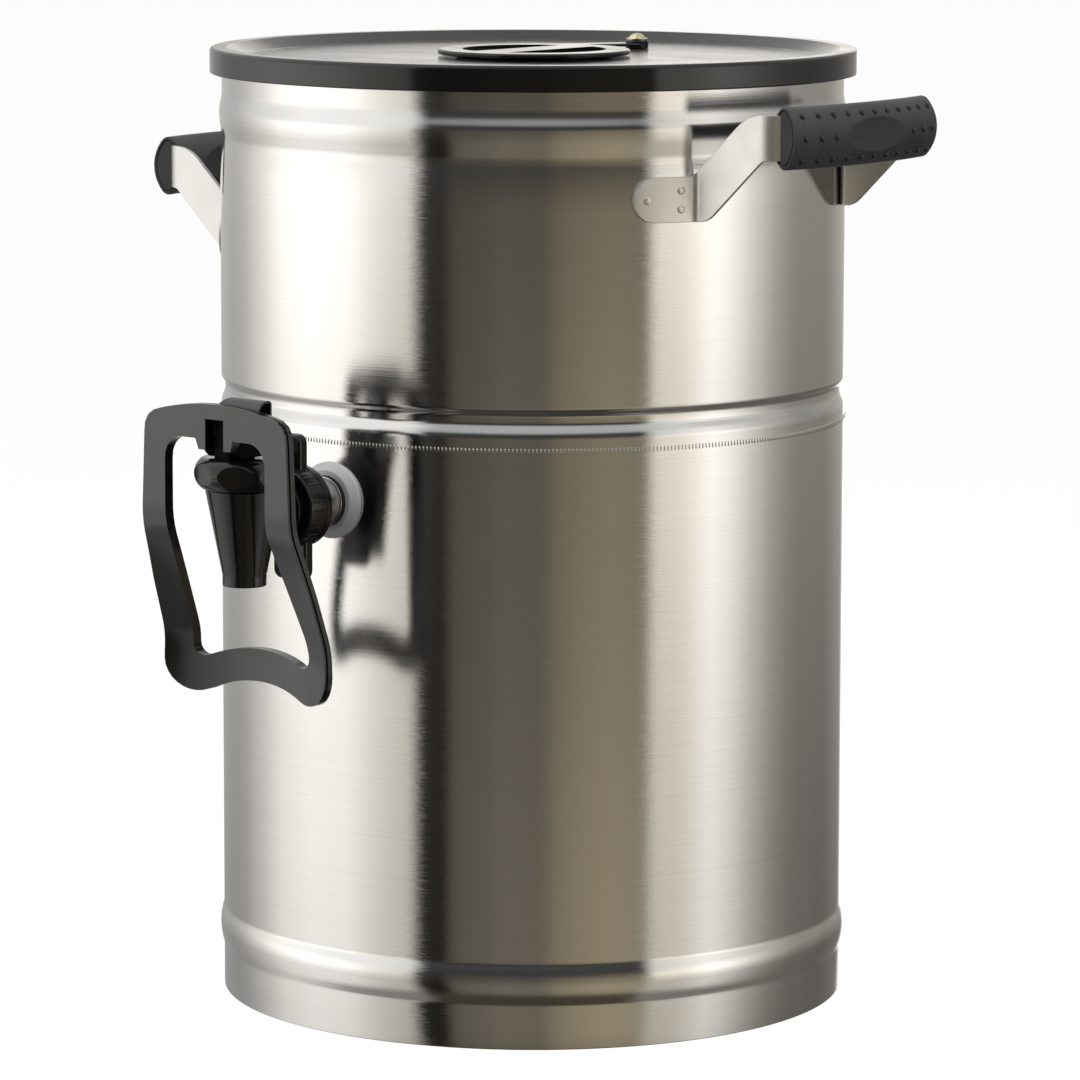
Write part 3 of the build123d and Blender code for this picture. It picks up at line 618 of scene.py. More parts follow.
def strapPlan():
    # one half of the strip's middle line from above
    s, g = strapSizes, gripSizes
    corners = [(*gripPlace(0, radians(turn))[:2], 0) for turn in range(s["bowDegrees"] + 1)]
    corners.append((g["bowCentre"] + sqrt(g["bowRadius"] ** 2 - s["legHalf"] ** 2), s["legHalf"], s["bend"]))
    corners.append((sqrt(s["seat"] ** 2 - s["legHalf"] ** 2), s["legHalf"], s["crease"]))
    first, last = degrees(asin(s["legHalf"] / s["seat"])), degrees(asin(s["tabReach"] / s["seat"]))
    corners += [(x, y, 0) for x, y in arcPoints(0, 0, s["seat"], first + s["creaseTurn"], last, 24)]
    return resample(softLine(corners, 8), s["steps"])


def heightAt(line, x):
    for (x1, z1), (x2, z2) in zip(line, line[1:]):
        if x1 <= x <= x2:
            return z1 + (z2 - z1) * (x - x1) / max(1e-9, x2 - x1)


def strapEdges():
    # lower and upper edge of half the strip
    s = strapSizes
    low, high = s["tabZ"] - s["width"] / 2, s["tabZ"] + s["width"] / 2
    headX = s["footX"] + s["rise"] / tan(radians(s["slope"]))
    shift = s["width"] * tan(radians(s["slope"] / 2))
    lowHead, highHead = low + s["rise"], high + s["rise"]
    lower = softLine([(0, low, 0), (s["footX"], low, s["footRound"]), (headX, lowHead, s["headRound"]),
                      (s["farX"], lowHead, 0)], 8)
    upper = softLine([(0, high, 0), (s["footX"] - shift, high, s["heelRound"]),
                      (headX - shift, highHead, s["shoulderRound"]), (s["farX"], highHead, 0)], 8)
    last = asin(s["tabReach"] / s["seat"])
    below, above = [], []
    for x, y in strapPlan():
        if y > s["legHalf"] + s["tabStart"]:  # the tab, round at its end
            left = (last - asin(min(y, s["tabReach"]) / s["seat"])) * s["seat"]
            inward = max(0.0, s["width"] / 2 - left)
            half = sqrt((s["width"] / 2) ** 2 - inward ** 2)
            below.append((x, y, s["tabZ"] - half))
            above.append((x, y, s["tabZ"] + half))
        else:
            below.append((x, y, heightAt(lower, x)))
            above.append((x, y, heightAt(upper, x)))
    return below, above


def makeStrap():
    s = strapSizes
    strap = startPiece("strapRight")
    for edge in strapEdges():
        drawLine([(x, -y, z) for x, y, z in edge[:0:-1]] + edge)
    bpy.ops.mesh.select_all(action="SELECT")
    bpy.ops.mesh.select_mode(type="EDGE")
    bpy.ops.mesh.bridge_edge_loops()
    bpy.ops.mesh.select_mode(type="VERT")
    closeMesh()
    addModifier(strap, "SOLIDIFY", thickness=s["thick"] * mm, offset=0.0, use_even_offset=True)
    bevelEdges(strap, s["edge"], 2, 40)
    face = s["seat"] + s["thick"] / 2
    endTurn = asin(s["tabReach"] / face) - s["pipEnd"] / face
    legTurn = asin((s["legHalf"] + s["thick"] / 2) / face) + s["pipLeg"] / face
    places = []
    for turn, rise in ((endTurn, 0), (legTurn, s["pipSpread"]), (legTurn, -s["pipSpread"])):
        for side in (1, -1):
            out = Vector((cos(turn), side * sin(turn), 0))
            places.append((out * face + Vector((0, 0, s["tabZ"] + rise)), out))
    return joinPieces([strap] + scatterStuds(makeStud(s["pipRadius"], s["pipRise"], 20), places))


rightStrap = makeStrap()
leftStrap = makeLeftCopy(rightStrap, "strapLeft")  # the left strap gets painted shade: a darker copy of the strap finish
finishPiece(rightStrap, "urn", ["handle_strap_right"], strapSteel, 40)
finishPiece(leftStrap, "urn", ["handle_strap_left"], strapPaintedShade, 40)


# faucet: seat washer, shank, wing nut, body with spout, bonnet

faucetPlace = dict(z=235.5, spoutReach=196.2)  # the shank's height, the spout's distance from the urn's axis


def spinOnFaucet(line, steps, closed=True):
    # line is (radius, reach out from the urn's axis)
    z = faucetPlace["z"]
    spinLine([(0, -reach, z + radius) for radius, reach in line], steps, axis=(0, 1, 0), centre=(0, 0, z),
             closed=closed)


def spinOnSpout(line, steps, closed=False):
    # line is (radius, height)
    reach = faucetPlace["spoutReach"]
    spinLine([(radius, -reach, z) for radius, z in line], steps, centre=(0, -reach, 0), closed=closed)


washerSizes = dict(radius=16.6, faceRadius=13.2, back=139.2, edge=141.0, front=143.2)
shankSizes = dict(radius=8.0, bore=5.0, end=120.0, darkRingRadius=11.0, collarStart=144.7, collarRadius=10.2,
                  flangeRadius=12.2, flangeStart=162.2, flangeEnd=164.6)


def makeSeatWasher():
    s, bore = washerSizes, shankSizes["radius"]
    washer = startPiece("seatWasher")
    spinOnFaucet(softLine([(bore, s["back"], 0), (s["radius"], s["back"], 0), (s["radius"], s["edge"], 0.35),
                           (s["faceRadius"], s["front"], 1.5), (bore, s["front"], 0)], 4, closed=True), 96)
    closeMesh()
    finishPiece(washer, "urn", ["shank_outer_washer"], washerWhite, 40)


def makeShank():
    s, darkRingStart = shankSizes, washerSizes["front"]
    shank = startPiece("shank")
    spinOnFaucet(softLine([
        (s["bore"], s["end"], 0), (s["radius"], s["end"], 0.5), (s["radius"], darkRingStart, 0),
        (s["darkRingRadius"], darkRingStart, 0), (s["darkRingRadius"], s["collarStart"], 0),
        (s["collarRadius"], s["collarStart"], 0.4), (s["collarRadius"], s["flangeStart"], 0),
        (s["flangeRadius"], s["flangeStart"], 0.3), (s["flangeRadius"], s["flangeEnd"], 0.3),
        (s["bore"], s["flangeEnd"], 0)], 3, closed=True), 72)
    closeMesh()
    finishPiece(shank, "urn", ["shank"], turnedSteel, 35)
    # the ring between collar and washer is dressed dark
    dressFaces(shank, seatRubber, lambda face: darkRingStart < -face.center.y / mm < s["collarStart"])


nutSizes = dict(start=159.1, end=172.6, radius=17.8, bore=10.4, mouth=13.2, web=3.0, rim=3.4, rimStep=0.5,
                ribs=28, ribRadius=0.45, ribSink=0.65, ribEnds=2.4, wingReach=31.3, wingUp=6.3, wingDown=9.2,
                wingCorner=4.0, rootUp=12.0, rootDown=6.0, rootRound=3.0, wingStart=162.1, wingThick=5.4,
                wingRound=1.2, wingClear=1.0)


def makeWingNut():
    s, z = nutSizes, faucetPlace["z"]
    r, back, front = s["radius"], s["start"], s["end"]
    rim, ribbed = back + s["rim"], r - s["rimStep"]
    nut = startPiece("wingNut")
    spinOnFaucet(softLine([(s["bore"], back, 0.3), (r, back, 0.9), (r, rim, 0.4), (ribbed, rim + 0.3, 0.1),
                           (ribbed, front, 1.3), (s["mouth"], front, 0.4), (s["mouth"], back + s["web"], 0),
                           (s["bore"], back + s["web"], 0)], 4, closed=True), 96)
    closeMesh()
    ribs = startPiece("nutRibs")  # one rib, then copies round the nut
    middle, length = (rim + front) / 2, front - rim - s["ribEnds"]
    bpy.ops.mesh.primitive_cylinder_add(
        vertices=8, radius=s["ribRadius"] * mm, depth=length * mm, rotation=(pi / 2, 0, 0),
        location=(0, -middle * mm, (z + r - s["ribSink"]) * mm))
    turn = 2 * pi * (s["ribs"] - 1) / s["ribs"]
    bpy.ops.mesh.spin(steps=s["ribs"] - 1, dupli=True, angle=turn, axis=(0, 1, 0), center=(0, 0, z * mm))
    bpy.ops.object.mode_set(mode="OBJECT")
    wings = startPiece("wings")
    corner, reach, root = s["wingCorner"], s["wingReach"], s["rootRound"]
    up, down = s["wingUp"], s["wingDown"]
    line = softLine([(up, reach, corner), (-up, reach, corner), (-up, s["rootUp"], root),
                     (-down, s["rootDown"], root), (-down, -reach, corner), (down, -reach, corner),
                     (down, s["rootDown"], root), (up, s["rootUp"], root)], 5, closed=True)
    pushOutline([(x, -s["wingStart"], z + rise) for x, rise in line], (0, -s["wingThick"], 0))
    closeMesh()
    bevelEdges(wings, s["wingRound"], 4)
    # the middle of the wings stays clear of the coupling inside the nut
    bpy.ops.object.select_all(action="DESELECT")
    bpy.ops.mesh.primitive_cylinder_add(
        vertices=64, radius=(s["mouth"] + s["wingClear"]) * mm, depth=2 * reach * mm, rotation=(pi / 2, 0, 0),
        location=(0, -middle * mm, z * mm))
    cutWith(wings, bpy.context.object)
    finishPiece(joinPieces([nut, ribs, wings]), "wing_nut", ["wing_nut"], faucetBlack, 35)


bodySizes = dict(spoutLow=205.0, spoutRadius=9.4, spoutBore=7.0, boreTop=222.0, lip=4.8, coneTop=246.5,
                 coneRadius=16.6, tailRadius=10.0, collarStart=175.6, collarSlant=0.4, collarRadius=12.6,
                 tailEnd=166.4, tailBore=5.0, tailBoreEnd=186.2)


def makeFaucetBody():
    s, reach = bodySizes, faucetPlace["spoutReach"]
    body = startPiece("faucetBody")
    spinOnSpout(softLine([
        (0, s["boreTop"], 0), (s["spoutBore"], s["boreTop"], 0.5), (s["spoutBore"], s["spoutLow"], 0.5),
        (s["spoutRadius"], s["spoutLow"], 0.7), (s["spoutRadius"], s["spoutLow"] + s["lip"], 2.0),
        (s["coneRadius"], s["coneTop"], 0.5), (0, s["coneTop"], 0)], 5), 72)
    closeMesh()
    tail = startPiece("faucetTail")
    spinOnFaucet(softLine([
        (0, reach, 0), (s["tailRadius"], reach, 0), (s["tailRadius"], s["collarStart"], 0.6),
        (s["collarRadius"], s["collarStart"] - s["collarSlant"], 0.5), (s["collarRadius"], s["tailEnd"], 0.4),
        (s["tailBore"], s["tailEnd"], 0.3), (s["tailBore"], s["tailBoreEnd"], 0), (0, s["tailBoreEnd"], 0)],
        4), 56, closed=False)
    closeMesh()
    finishPiece(joinPieces([body, tail]), "urn", ["faucet_body"], faucetBlack, 35)


bonnetSizes = dict(foot=17.2, footGap=0.05, footEdge=0.6, belly=(21.2, 253.5), crown=17.4, top=260.2,
                   crownEdge=1.2, crownFall=0.1, crownFlat=2.2, flats=7, flatDistance=19.7, flatTurn=-59.1,
                   flatRound=0.35, pinReach=207.5, pinZ=274.0, lugFoot=258.0, lugHalf=4.2, lugRear=4.5,
                   lugFront=3.0, lugRound=0.5, glandBore=3.3, glandRadius=4.6, glandLow=259.0, glandTop=265.5)


def circleThrough(p, q, r):
    ax, ay, bx, by, cx, cy = *p, *q, *r
    d = 2 * (ax * (by - cy) + bx * (cy - ay) + cx * (ay - by))
    a, b, c = ax**2 + ay**2, bx**2 + by**2, cx**2 + cy**2
    ux = (a * (by - cy) + b * (cy - ay) + c * (ay - by)) / d
    uy = (a * (cx - bx) + b * (ax - cx) + c * (bx - ax)) / d
    return ux, uy, hypot(ax - ux, ay - uy)


def makeBonnet():
    s = bonnetSizes
    foot, crown = (s["foot"], bodySizes["coneTop"] + s["footGap"]), (s["crown"], s["top"])
    hubR, hubZ, radius = circleThrough(foot, s["belly"], crown)
    first = degrees(atan2(foot[1] - hubZ, foot[0] - hubR)) + 4
    last = degrees(atan2(crown[1] - hubZ, crown[0] - hubR)) - 4
    line = [(0, foot[1]), (foot[0] - s["footEdge"], foot[1])] + arcPoints(hubR, hubZ, radius, first, last, 14)
    line += [(crown[0] - s["crownEdge"], crown[1] - s["crownFall"]), (crown[0] - s["crownFlat"], crown[1]),
             (0, crown[1])]
    bonnet = startPiece("bonnet")
    spinOnSpout(line, 84)
    closeMesh()
    bpy.ops.object.mode_set(mode="EDIT")
    axis = Vector((0, -faucetPlace["spoutReach"], 0))
    for index in range(s["flats"]):  # one flat oval after another is sliced off
        turn = radians(s["flatTurn"] + index * 360 / s["flats"])
        out = Vector((cos(turn), sin(turn), 0))
        bpy.ops.mesh.select_all(action="SELECT")
        bpy.ops.mesh.bisect(plane_co=(axis + out * s["flatDistance"]) * mm, plane_no=out, use_fill=True,
                            clear_outer=True)
    closeMesh()
    bevelEdges(bonnet, s["flatRound"], 2, 11)
    lug = startPiece("pinLug")
    rear, front, pinY, pinZ = s["lugRear"], s["lugFront"], -s["pinReach"], s["pinZ"]
    line = [(pinY - front, s["lugFoot"]), (pinY + rear, s["lugFoot"])]
    line += arcPoints(pinY, pinZ, rear, 0, 90, 8) + arcPoints(pinY, pinZ + rear - front, front, 99, 180, 8)
    pushOutline([(-s["lugHalf"], y, z) for y, z in line], (2 * s["lugHalf"], 0, 0))
    closeMesh()
    bevelEdges(lug, s["lugRound"], 2)
    gland = startPiece("stemGland")
    spinOnSpout([(s["glandBore"], s["glandLow"]), (s["glandRadius"], s["glandLow"]),
                 (s["glandRadius"], s["glandTop"]), (s["glandBore"], s["glandTop"])], 32, closed=True)
    closeMesh()
    plain = len(bonnet.data.polygons)
    bonnet = joinPieces([bonnet, lug, gland])
    finishPiece(bonnet, "urn", ["bonnet"], faucetBlack, 14)
    # the pin lug and the stem gland get painted shade: a darker, nearly unreflecting black
    dressFaces(bonnet, paintedShadeBlack, lambda face: face.index >= plain)


makeSeatWasher()
makeShank()
makeWingNut()
makeFaucetBody()
makeBonnet()


# lever: bent plate with a window, hub behind it, prongs under the stem head

leverSizes = dict(top=283.9, crown=5.9, half=39.3, archReach=29.0, kinkZ=232.0, kinkHalf=41.2, waistZ=205.0,
                  waistHalf=43.9, lobeHalf=45.4, lobeRound=14.0, bottom=162.6, baseRadius=62.0,
                  shoulderRound=8.5, windowTop=269.0, windowHalf=28.0, windowRound=9.5, windowLow=33.4,
                  sill=176.6, sillArch=8.4, sillReach=25.0, sillRound=5.0, earHalf=10.2, earTip=8.9,
                  earBottom=264.4, earEnd=17.5, slotHalf=5.1, slotTop=277.5, headLow=262.0, headHalf=27.0,
                  headSide=275.0,
                  front=-215.0, thick=5.0, cupFront=-187.6, cupRadius=113.1, cupZ=180.5, bendEase=0.12,
                  edgeRound=1.0, bands=(1.2, 1.1, 2.7), edgeGroove=0.7, grooveHalf=35.0, grooveTop=279.0,
                  grooveBottom=165.0)


def splitAt(points, z):
    # a falling line cut in two at a height
    for index, (a, b) in enumerate(zip(points, points[1:])):
        if a[1] >= z > b[1]:
            share = (a[1] - z) / (a[1] - b[1])
            cut = (a[0] + (b[0] - a[0]) * share, z)
            return points[:index + 1] + [cut], [cut] + points[index + 1:]


def archLine(half, top, drop, reach, count):
    radius = (half * half + drop * drop) / (2 * drop)
    return [(x, top - radius + sqrt(radius * radius - x * x)) for x in
            [reach * step / count for step in range(count + 1)]]


def leverHalves():
    s = leverSizes
    arch = archLine(s["half"], s["top"], s["crown"], s["archReach"], 24)
    # round lobe that runs smoothly into the arch of the base
    baseZ = s["bottom"] - s["baseRadius"]
    lobeX = s["lobeHalf"] - s["lobeRound"]
    lobeZ = baseZ + sqrt((s["baseRadius"] + s["lobeRound"]) ** 2 - lobeX ** 2)
    meet = degrees(atan2(lobeZ - baseZ, lobeX))
    base = arcPoints(lobeX, lobeZ, s["lobeRound"], 0, meet - 180, 16)
    base += arcPoints(0, baseZ, s["baseRadius"], meet, 90, 16)[1:]
    side = softLine([(*arch[-1], 0), (s["half"], s["top"] - s["crown"], s["shoulderRound"]),
                     (s["kinkHalf"], s["kinkZ"], 60.0), (s["waistHalf"], s["waistZ"], 60.0),
                     (s["lobeHalf"], lobeZ, 0)], 8)
    outer = arch[:-1] + side + base[1:]
    sill = archLine(s["windowLow"], s["sill"], s["sillArch"], s["sillReach"], 16)
    jamb = softLine([(s["earEnd"], s["windowTop"], 0), (s["windowHalf"], s["windowTop"], s["windowRound"]),
                     (s["windowHalf"], s["kinkZ"], 40.0),
                     (s["windowLow"], s["sill"] - s["sillArch"], s["sillRound"]), (*sill[-1], 0)], 8)
    # both outlines get the same number of points in each stretch, so that they bridge evenly
    upper, low = splitAt(outer, s["headLow"])
    middle, low = splitAt(low, s["waistZ"])
    crown = [p for p in upper if p[0] <= s["headHalf"] and p[1] > s["headSide"]]
    shoulder = [crown[-1]] + upper[len(crown):]
    outerLine = resample(crown, 13)[:-1] + resample(shoulder, 7)[:-1]
    outerLine += resample(middle, 16)[:-1] + resample(low, 30)
    jambTop, rest = splitAt(jamb[1:], s["headLow"])
    jambMiddle, jambLow = splitAt(rest, s["waistZ"])
    ears = [((0, s["slotTop"]), (s["slotHalf"], s["slotTop"]), 2),
            ((s["slotHalf"], s["slotTop"]), (s["slotHalf"], s["earBottom"]), 4),
            ((s["slotHalf"], s["earBottom"]), (s["earTip"], s["earBottom"]), 1),
            ((s["earTip"], s["earBottom"]), (s["earHalf"], s["windowTop"]), 2),
            ((s["earHalf"], s["windowTop"]), jamb[1], 4)]
    innerLine = []
    for a, b, count in ears:
        innerLine += resample([a, b], count)[:-1]
    innerLine += resample(jambTop, 7)[:-1] + resample(jambMiddle, 16)[:-1]
    innerLine += resample(jambLow + sill[-2::-1], 30)
    return outerLine, innerLine


def leverFront(x, z):
    s = leverSizes
    cup = s["cupFront"] - s["cupRadius"] + sqrt(s["cupRadius"] ** 2 - x * x)
    fall = s["kinkZ"] - s["cupZ"]
    share = (s["kinkZ"] - z) / fall
    ease = s["bendEase"]  # softens both ends of the slope
    if share <= -ease:
        share = 0.0
    elif share < ease:
        share = (share + ease) ** 2 / (4 * ease)
    elif share >= 1 + ease:
        share = 1.0
    elif share > 1 - ease:
        share = 1 - (1 + ease - share) ** 2 / (4 * ease)
    return s["front"] + (cup - s["front"]) * share


hubSizes = dict(left=-2.5, right=20.8, low=270.2, top=286.1, rear=-202.0, slope=(9.5, 2.8), wall=0.9,
                taper=0.1, hollow=9.0, slotOver=1.7, bossLeft=-19.0, bossTop=278.0)
forkSizes = dict(low=260.9, top=269.5, inner=4.8, outer=9.4, rear=-194.0, knee=2.7, prongLow=266.5,
                 prongIn=3.4, prongWide=4.6, prongRoot=1.5, prongRear=-194.7, edgeRound=0.4)
plateRear = leverSizes["front"] + leverSizes["thick"] - 1  # hub and fork sink a millimetre into the plate


def makeHub():
    # tube over the pin, sloped off on the left, where only a low boss carries the pin's end
    s, half = hubSizes, leverSizes["slotHalf"]
    rear, low = s["rear"], s["low"]
    hub = startPiece("leverHub")
    line = softLine([(plateRear, low, 0), (rear, low, 0.8), (rear, s["top"], 2.0),
                     (plateRear, s["top"], 6.0)], 8, closed=True)
    pushOutline([(s["left"], y, z) for y, z in line], (s["right"] - s["left"], 0, 0))
    closeMesh()
    selectFaces(hub, lambda face: face.center.x > (s["right"] - 0.1) * mm)  # the right end is hollow
    bpy.ops.mesh.inset(thickness=s["wall"] * mm, depth=0.0)
    bpy.ops.mesh.inset(thickness=s["taper"] * mm, depth=-s["hollow"] * mm)
    bpy.ops.mesh.select_mode(type="VERT")
    closeMesh()
    slot = startPiece("hubSlot")
    slotLow, slotTop = forkSizes["low"], leverSizes["slotTop"] + s["slotOver"]
    line = [(-half, slotLow), (half, slotLow), (half, slotTop), (-half, slotTop)]
    pushOutline([(x, plateRear - 0.2, z) for x, z in line], (0, rear - plateRear + 1, 0))
    closeMesh()
    cutWith(hub, slot)
    selectFaces(hub, lambda face: True)
    run, climb = s["slope"]
    bpy.ops.mesh.bisect(plane_co=(s["left"] * mm, 0, (s["top"] - climb) * mm), plane_no=(-climb, 0, run),
                        use_fill=True, clear_outer=True)
    bpy.ops.mesh.select_mode(type="VERT")
    closeMesh()
    boss = startPiece("pinBoss")
    line = softLine([(plateRear, low, 0), (rear, low, 0.8), (rear, s["bossTop"], 3.0),
                     (plateRear, s["bossTop"], 0)], 4, closed=True)
    pushOutline([(s["bossLeft"], y, z) for y, z in line], (s["left"] - s["bossLeft"], 0, 0))
    closeMesh()
    return joinPieces([hub, boss])


def makeFork():
    # cheeks beside the lug, and the prongs that lift the stem's head
    s, hubRear = forkSizes, hubSizes["rear"]
    root = hubRear - s["prongRoot"]
    cheek = softLine([(plateRear, leverSizes["earBottom"] - 1, 0), (plateRear + s["knee"], s["low"], 1.0),
                      (s["rear"], s["low"], 1.5), (s["rear"], s["top"], 1.5), (hubRear, s["top"], 0),
                      (plateRear, hubSizes["low"] + 1, 0)], 4, closed=True)
    prong = softLine([(root, s["prongLow"], 0), (s["prongRear"], s["prongLow"], 1.2),
                      (s["prongRear"], s["top"], 1.2), (root, s["top"], 0)], 4, closed=True)
    fork = startPiece("leverFork")
    cheekWide = s["outer"] - s["inner"]
    for side, start, width in ((cheek, s["inner"], cheekWide), (prong, s["prongIn"], s["prongWide"])):
        for x in (start, -start - width):
            pushOutline([(x, y, z) for y, z in side], (width, 0, 0))
    closeMesh()
    bevelEdges(fork, s["edgeRound"], 2)
    return fork


def inEdgeGroove(face):
    s = leverSizes
    x, y, z = face.center / mm
    lip, groove = s["bands"][:2]
    outer = abs(x) > s["grooveHalf"] or z > s["grooveTop"] or z < s["grooveBottom"]
    return outer and abs(face.normal.y) < 0.4 and lip < y - leverFront(x, z) < lip + groove


def makeLever():
    s = leverSizes
    lever = startPiece("lever")
    for half in leverHalves():
        loop = half + [(-x, z) for x, z in half[-2:0:-1]]
        drawLine([(x, leverFront(x, z), z) for x, z in loop], closed=True)
    bpy.ops.mesh.select_all(action="SELECT")
    bpy.ops.mesh.select_mode(type="EDGE")
    bpy.ops.mesh.bridge_edge_loops(number_cuts=3, interpolation="LINEAR")
    bpy.ops.mesh.select_mode(type="VERT")
    bpy.ops.mesh.select_all(action="SELECT")
    bpy.ops.object.mode_set(mode="OBJECT")
    for vertex in lever.data.vertices:  # the bridged rows settle onto the bent plate
        vertex.co.y = leverFront(vertex.co.x / mm, vertex.co.z / mm) * mm
    bpy.ops.object.mode_set(mode="EDIT")
    bpy.ops.mesh.select_all(action="SELECT")
    for push in s["bands"]:
        bpy.ops.mesh.extrude_region_move(TRANSFORM_OT_translate={"value": (0, push * mm, 0)})
    closeMesh()
    bevelEdges(lever, s["edgeRound"], 3, 50)
    # a narrow groove runs round the plate's outer edge
    selectFaces(lever, inEdgeGroove)
    bpy.ops.mesh.extrude_region_shrink_fatten(TRANSFORM_OT_shrink_fatten={"value": -s["edgeGroove"] * mm})
    bpy.ops.mesh.select_mode(type="VERT")
    closeMesh()
    edged = len(lever.data.polygons)
    hub = makeHub()
    plain = len(lever.data.polygons) + len(hub.data.polygons)
    lever = joinPieces([lever, hub, makeFork()])
    finishPiece(lever, "lever", ["lever"], leverBlack, 35)
    # the fork, the walls of the slot and the edge groove get painted shade: a darker, nearly unreflecting
    # black
    side, low, high = s["slotHalf"] + 0.4, s["earBottom"], s["slotTop"] + 2
    behind = s["front"] + s["bands"][0]

    def inPaintedShade(face):
        x, y, z = face.center / mm
        inSlot = abs(x) < side and low < z < high and y > behind
        return inSlot or face.index >= plain or (face.index < edged and inEdgeGroove(face))

    dressFaces(lever, paintedShadeBlack, inPaintedShade)


makeLever()


# kept nodes get their finishes

keptFinishes = dict(
    tank_bottom=shellSteel, cover_pivot_screw=pivotBrass, cover_pivot_washer=turnedSteel,
    cover_pivot_lower_washer=turnedSteel, cover_pivot_nut=turnedSteel, shank_inner_washer=washerWhite,
    shank_lock_nut=turnedSteel, coupling_gasket=washerWhite, lever_pin=turnedSteel, stem=turnedSteel,
    seat_cup=seatRubber, stem_spring=turnedSteel)
for nodeName, finish in keptFinishes.items():
    nodes[nodeName].data.materials.clear()
    nodes[nodeName].data.materials.append(finish)


# studio: white floor, soft lamps, grey and white cards that only show in reflections

cameraPlace = dict(turn=38.5, distance=2.4556, height=0.564, aimZ=0.2021, aside=0.0032, roll=0.147,
                   lens=183.2, sensor=36.0, farthest=50)

# a card is (degrees round from the camera, brightness, warmth); climb is how much brighter a card is
# where the upper body mirrors it; an edge is the elevation, in degrees, where one band blends into the next
studio = dict(wallRadius=6.0, level=-11.1, step=5.1, span=(-0.15, 2.0), deep=0.06, air=0.45,
              deepEdge=(-66, -58), tableEdge=(-33, -27), upperEdge=(3, 6), overEdge=(20, 25),
              cards=[
                  # lit strip behind the urn and the wide left card
                  (-180, 1.3, 0.05), (-172, 0.37, 0.03), (-142, 0.37, 0.03), (-131, 0.44, 0.03),
                  (-115, 0.74, 0.03), (-104, 1.04, 0.03), (-88, 1.18, 0.02), (-71, 1.11, 0.03),
                  (-58.3, 0.81, 0.07), (-42.8, 0.58, 0.08),
                  # black card, then the warm room round the camera with a lighter strip in it
                  (-42.3, 0.03, 0.1), (-30.8, 0.012, 0.15), (-30.3, 0.135, 0.17), (-12.6, 0.185, 0.17),
                  (-12.0, 0.22, 0.15), (-11.4, 0.22, 0.15), (-10.8, 0.195, 0.17), (5.5, 0.19, 0.17),
                  (6.3, 0.275, 0.23), (16.6, 0.345, 0.23), (28, 0.4, 0.23), (41.9, 0.365, 0.2),
                  # right card and the dim side behind it
                  (42.6, 0.635, 0.1), (54.8, 0.715, 0.1), (67.6, 0.985, 0.05), (76.7, 0.77, 0.05),
                  (86.5, 0.48, 0.06), (97, 0.29, 0.07), (109, 0.195, 0.07), (134, 0.16, 0.07),
                  (161, 0.24, 0.06), (172, 1.5, 0.05)],
              climb=[(-180, 1.3, 0), (-42.8, 1.3, 0), (-42.3, 1.7, 0), (-30.8, 1.7, 0), (-30.3, 0.8, 0),
                     (41.9, 0.8, 0), (42.6, 1.45, 0), (67, 1.45, 0), (90, 1.6, 0), (115, 1.5, 0),
                     (150, 1.7, 0), (180, 1.7, 0)],
              tableCards=[(-180, 0.3, 0.05), (-110, 0.6, 0.03), (-92, 0.55, 0.03), (-77, 0.28, 0.03),
                          (-42.2, 0.25, 0.05), (-41.6, 0.065, 0.2), (41.9, 0.065, 0.2), (42.6, 0.25, 0.08),
                          (90, 0.15, 0.08), (180, 0.15, 0.05)],
              upperCards=[(-180, 1.5, 0.05), (-172, 0.6, 0), (-140, 0.6, 0), (-115, 1.05, 0), (-90, 1.35, 0),
                          (-60, 1.2, 0), (-42.2, 0.95, 0), (-41.6, 0.045, -0.03), (41.9, 0.045, -0.03),
                          (42.6, 0.85, 0.05), (67, 1.3, 0.03), (90, 0.7, 0.03), (115, 0.35, 0.03),
                          (160, 0.5, 0.05), (172, 1.6, 0.05)],
              overCards=[(-180, 0.6, 0), (-110, 1.2, 0), (-50, 1.2, 0), (-40, 0.56, -0.02), (40, 0.56, -0.02),
                         (55, 0.9, 0), (110, 0.6, 0), (180, 0.6, 0)])


def clearTree(owner):
    owner.use_nodes = True
    owner.node_tree.nodes.clear()
    return owner.node_tree


def cardRamp(tree, share, cards):
    ramp = tree.nodes.new("ShaderNodeValToRGB")
    stops = ramp.color_ramp.elements
    while len(stops) > 1:
        stops.remove(stops[0])
    for index, (turn, level, warmth) in enumerate(cards):
        stop = stops[0] if index == 0 else stops.new((turn + 180) / 360)
        stop.position = (turn + 180) / 360
        stop.color = (level, level * (1 - 0.6 * warmth), level * (1 - 1.7 * warmth), 1)
    tree.links.new(share, ramp.inputs["Fac"])
    return ramp.outputs["Color"]


def bandHeight(elevation):
    return studio["wallRadius"] * sin(radians(elevation))


def bandShare(tree, height, edges):
    # 0 below the first elevation, 1 above the second
    low, high = edges
    return rangeValue(tree, height, 0.0, 1.0, bandHeight(low), bandHeight(high))


def mixColor(tree, share, first, second):
    mix = tree.nodes.new("ShaderNodeMix")
    mix.data_type = "RGBA"
    tree.links.new(share, mix.inputs[0])
    for socket, value in ((mix.inputs[6], first), (mix.inputs[7], second)):
        if isinstance(value, float):
            socket.default_value = (value, value, value, 1)
        else:
            tree.links.new(value, socket)
    return mix.outputs[2]


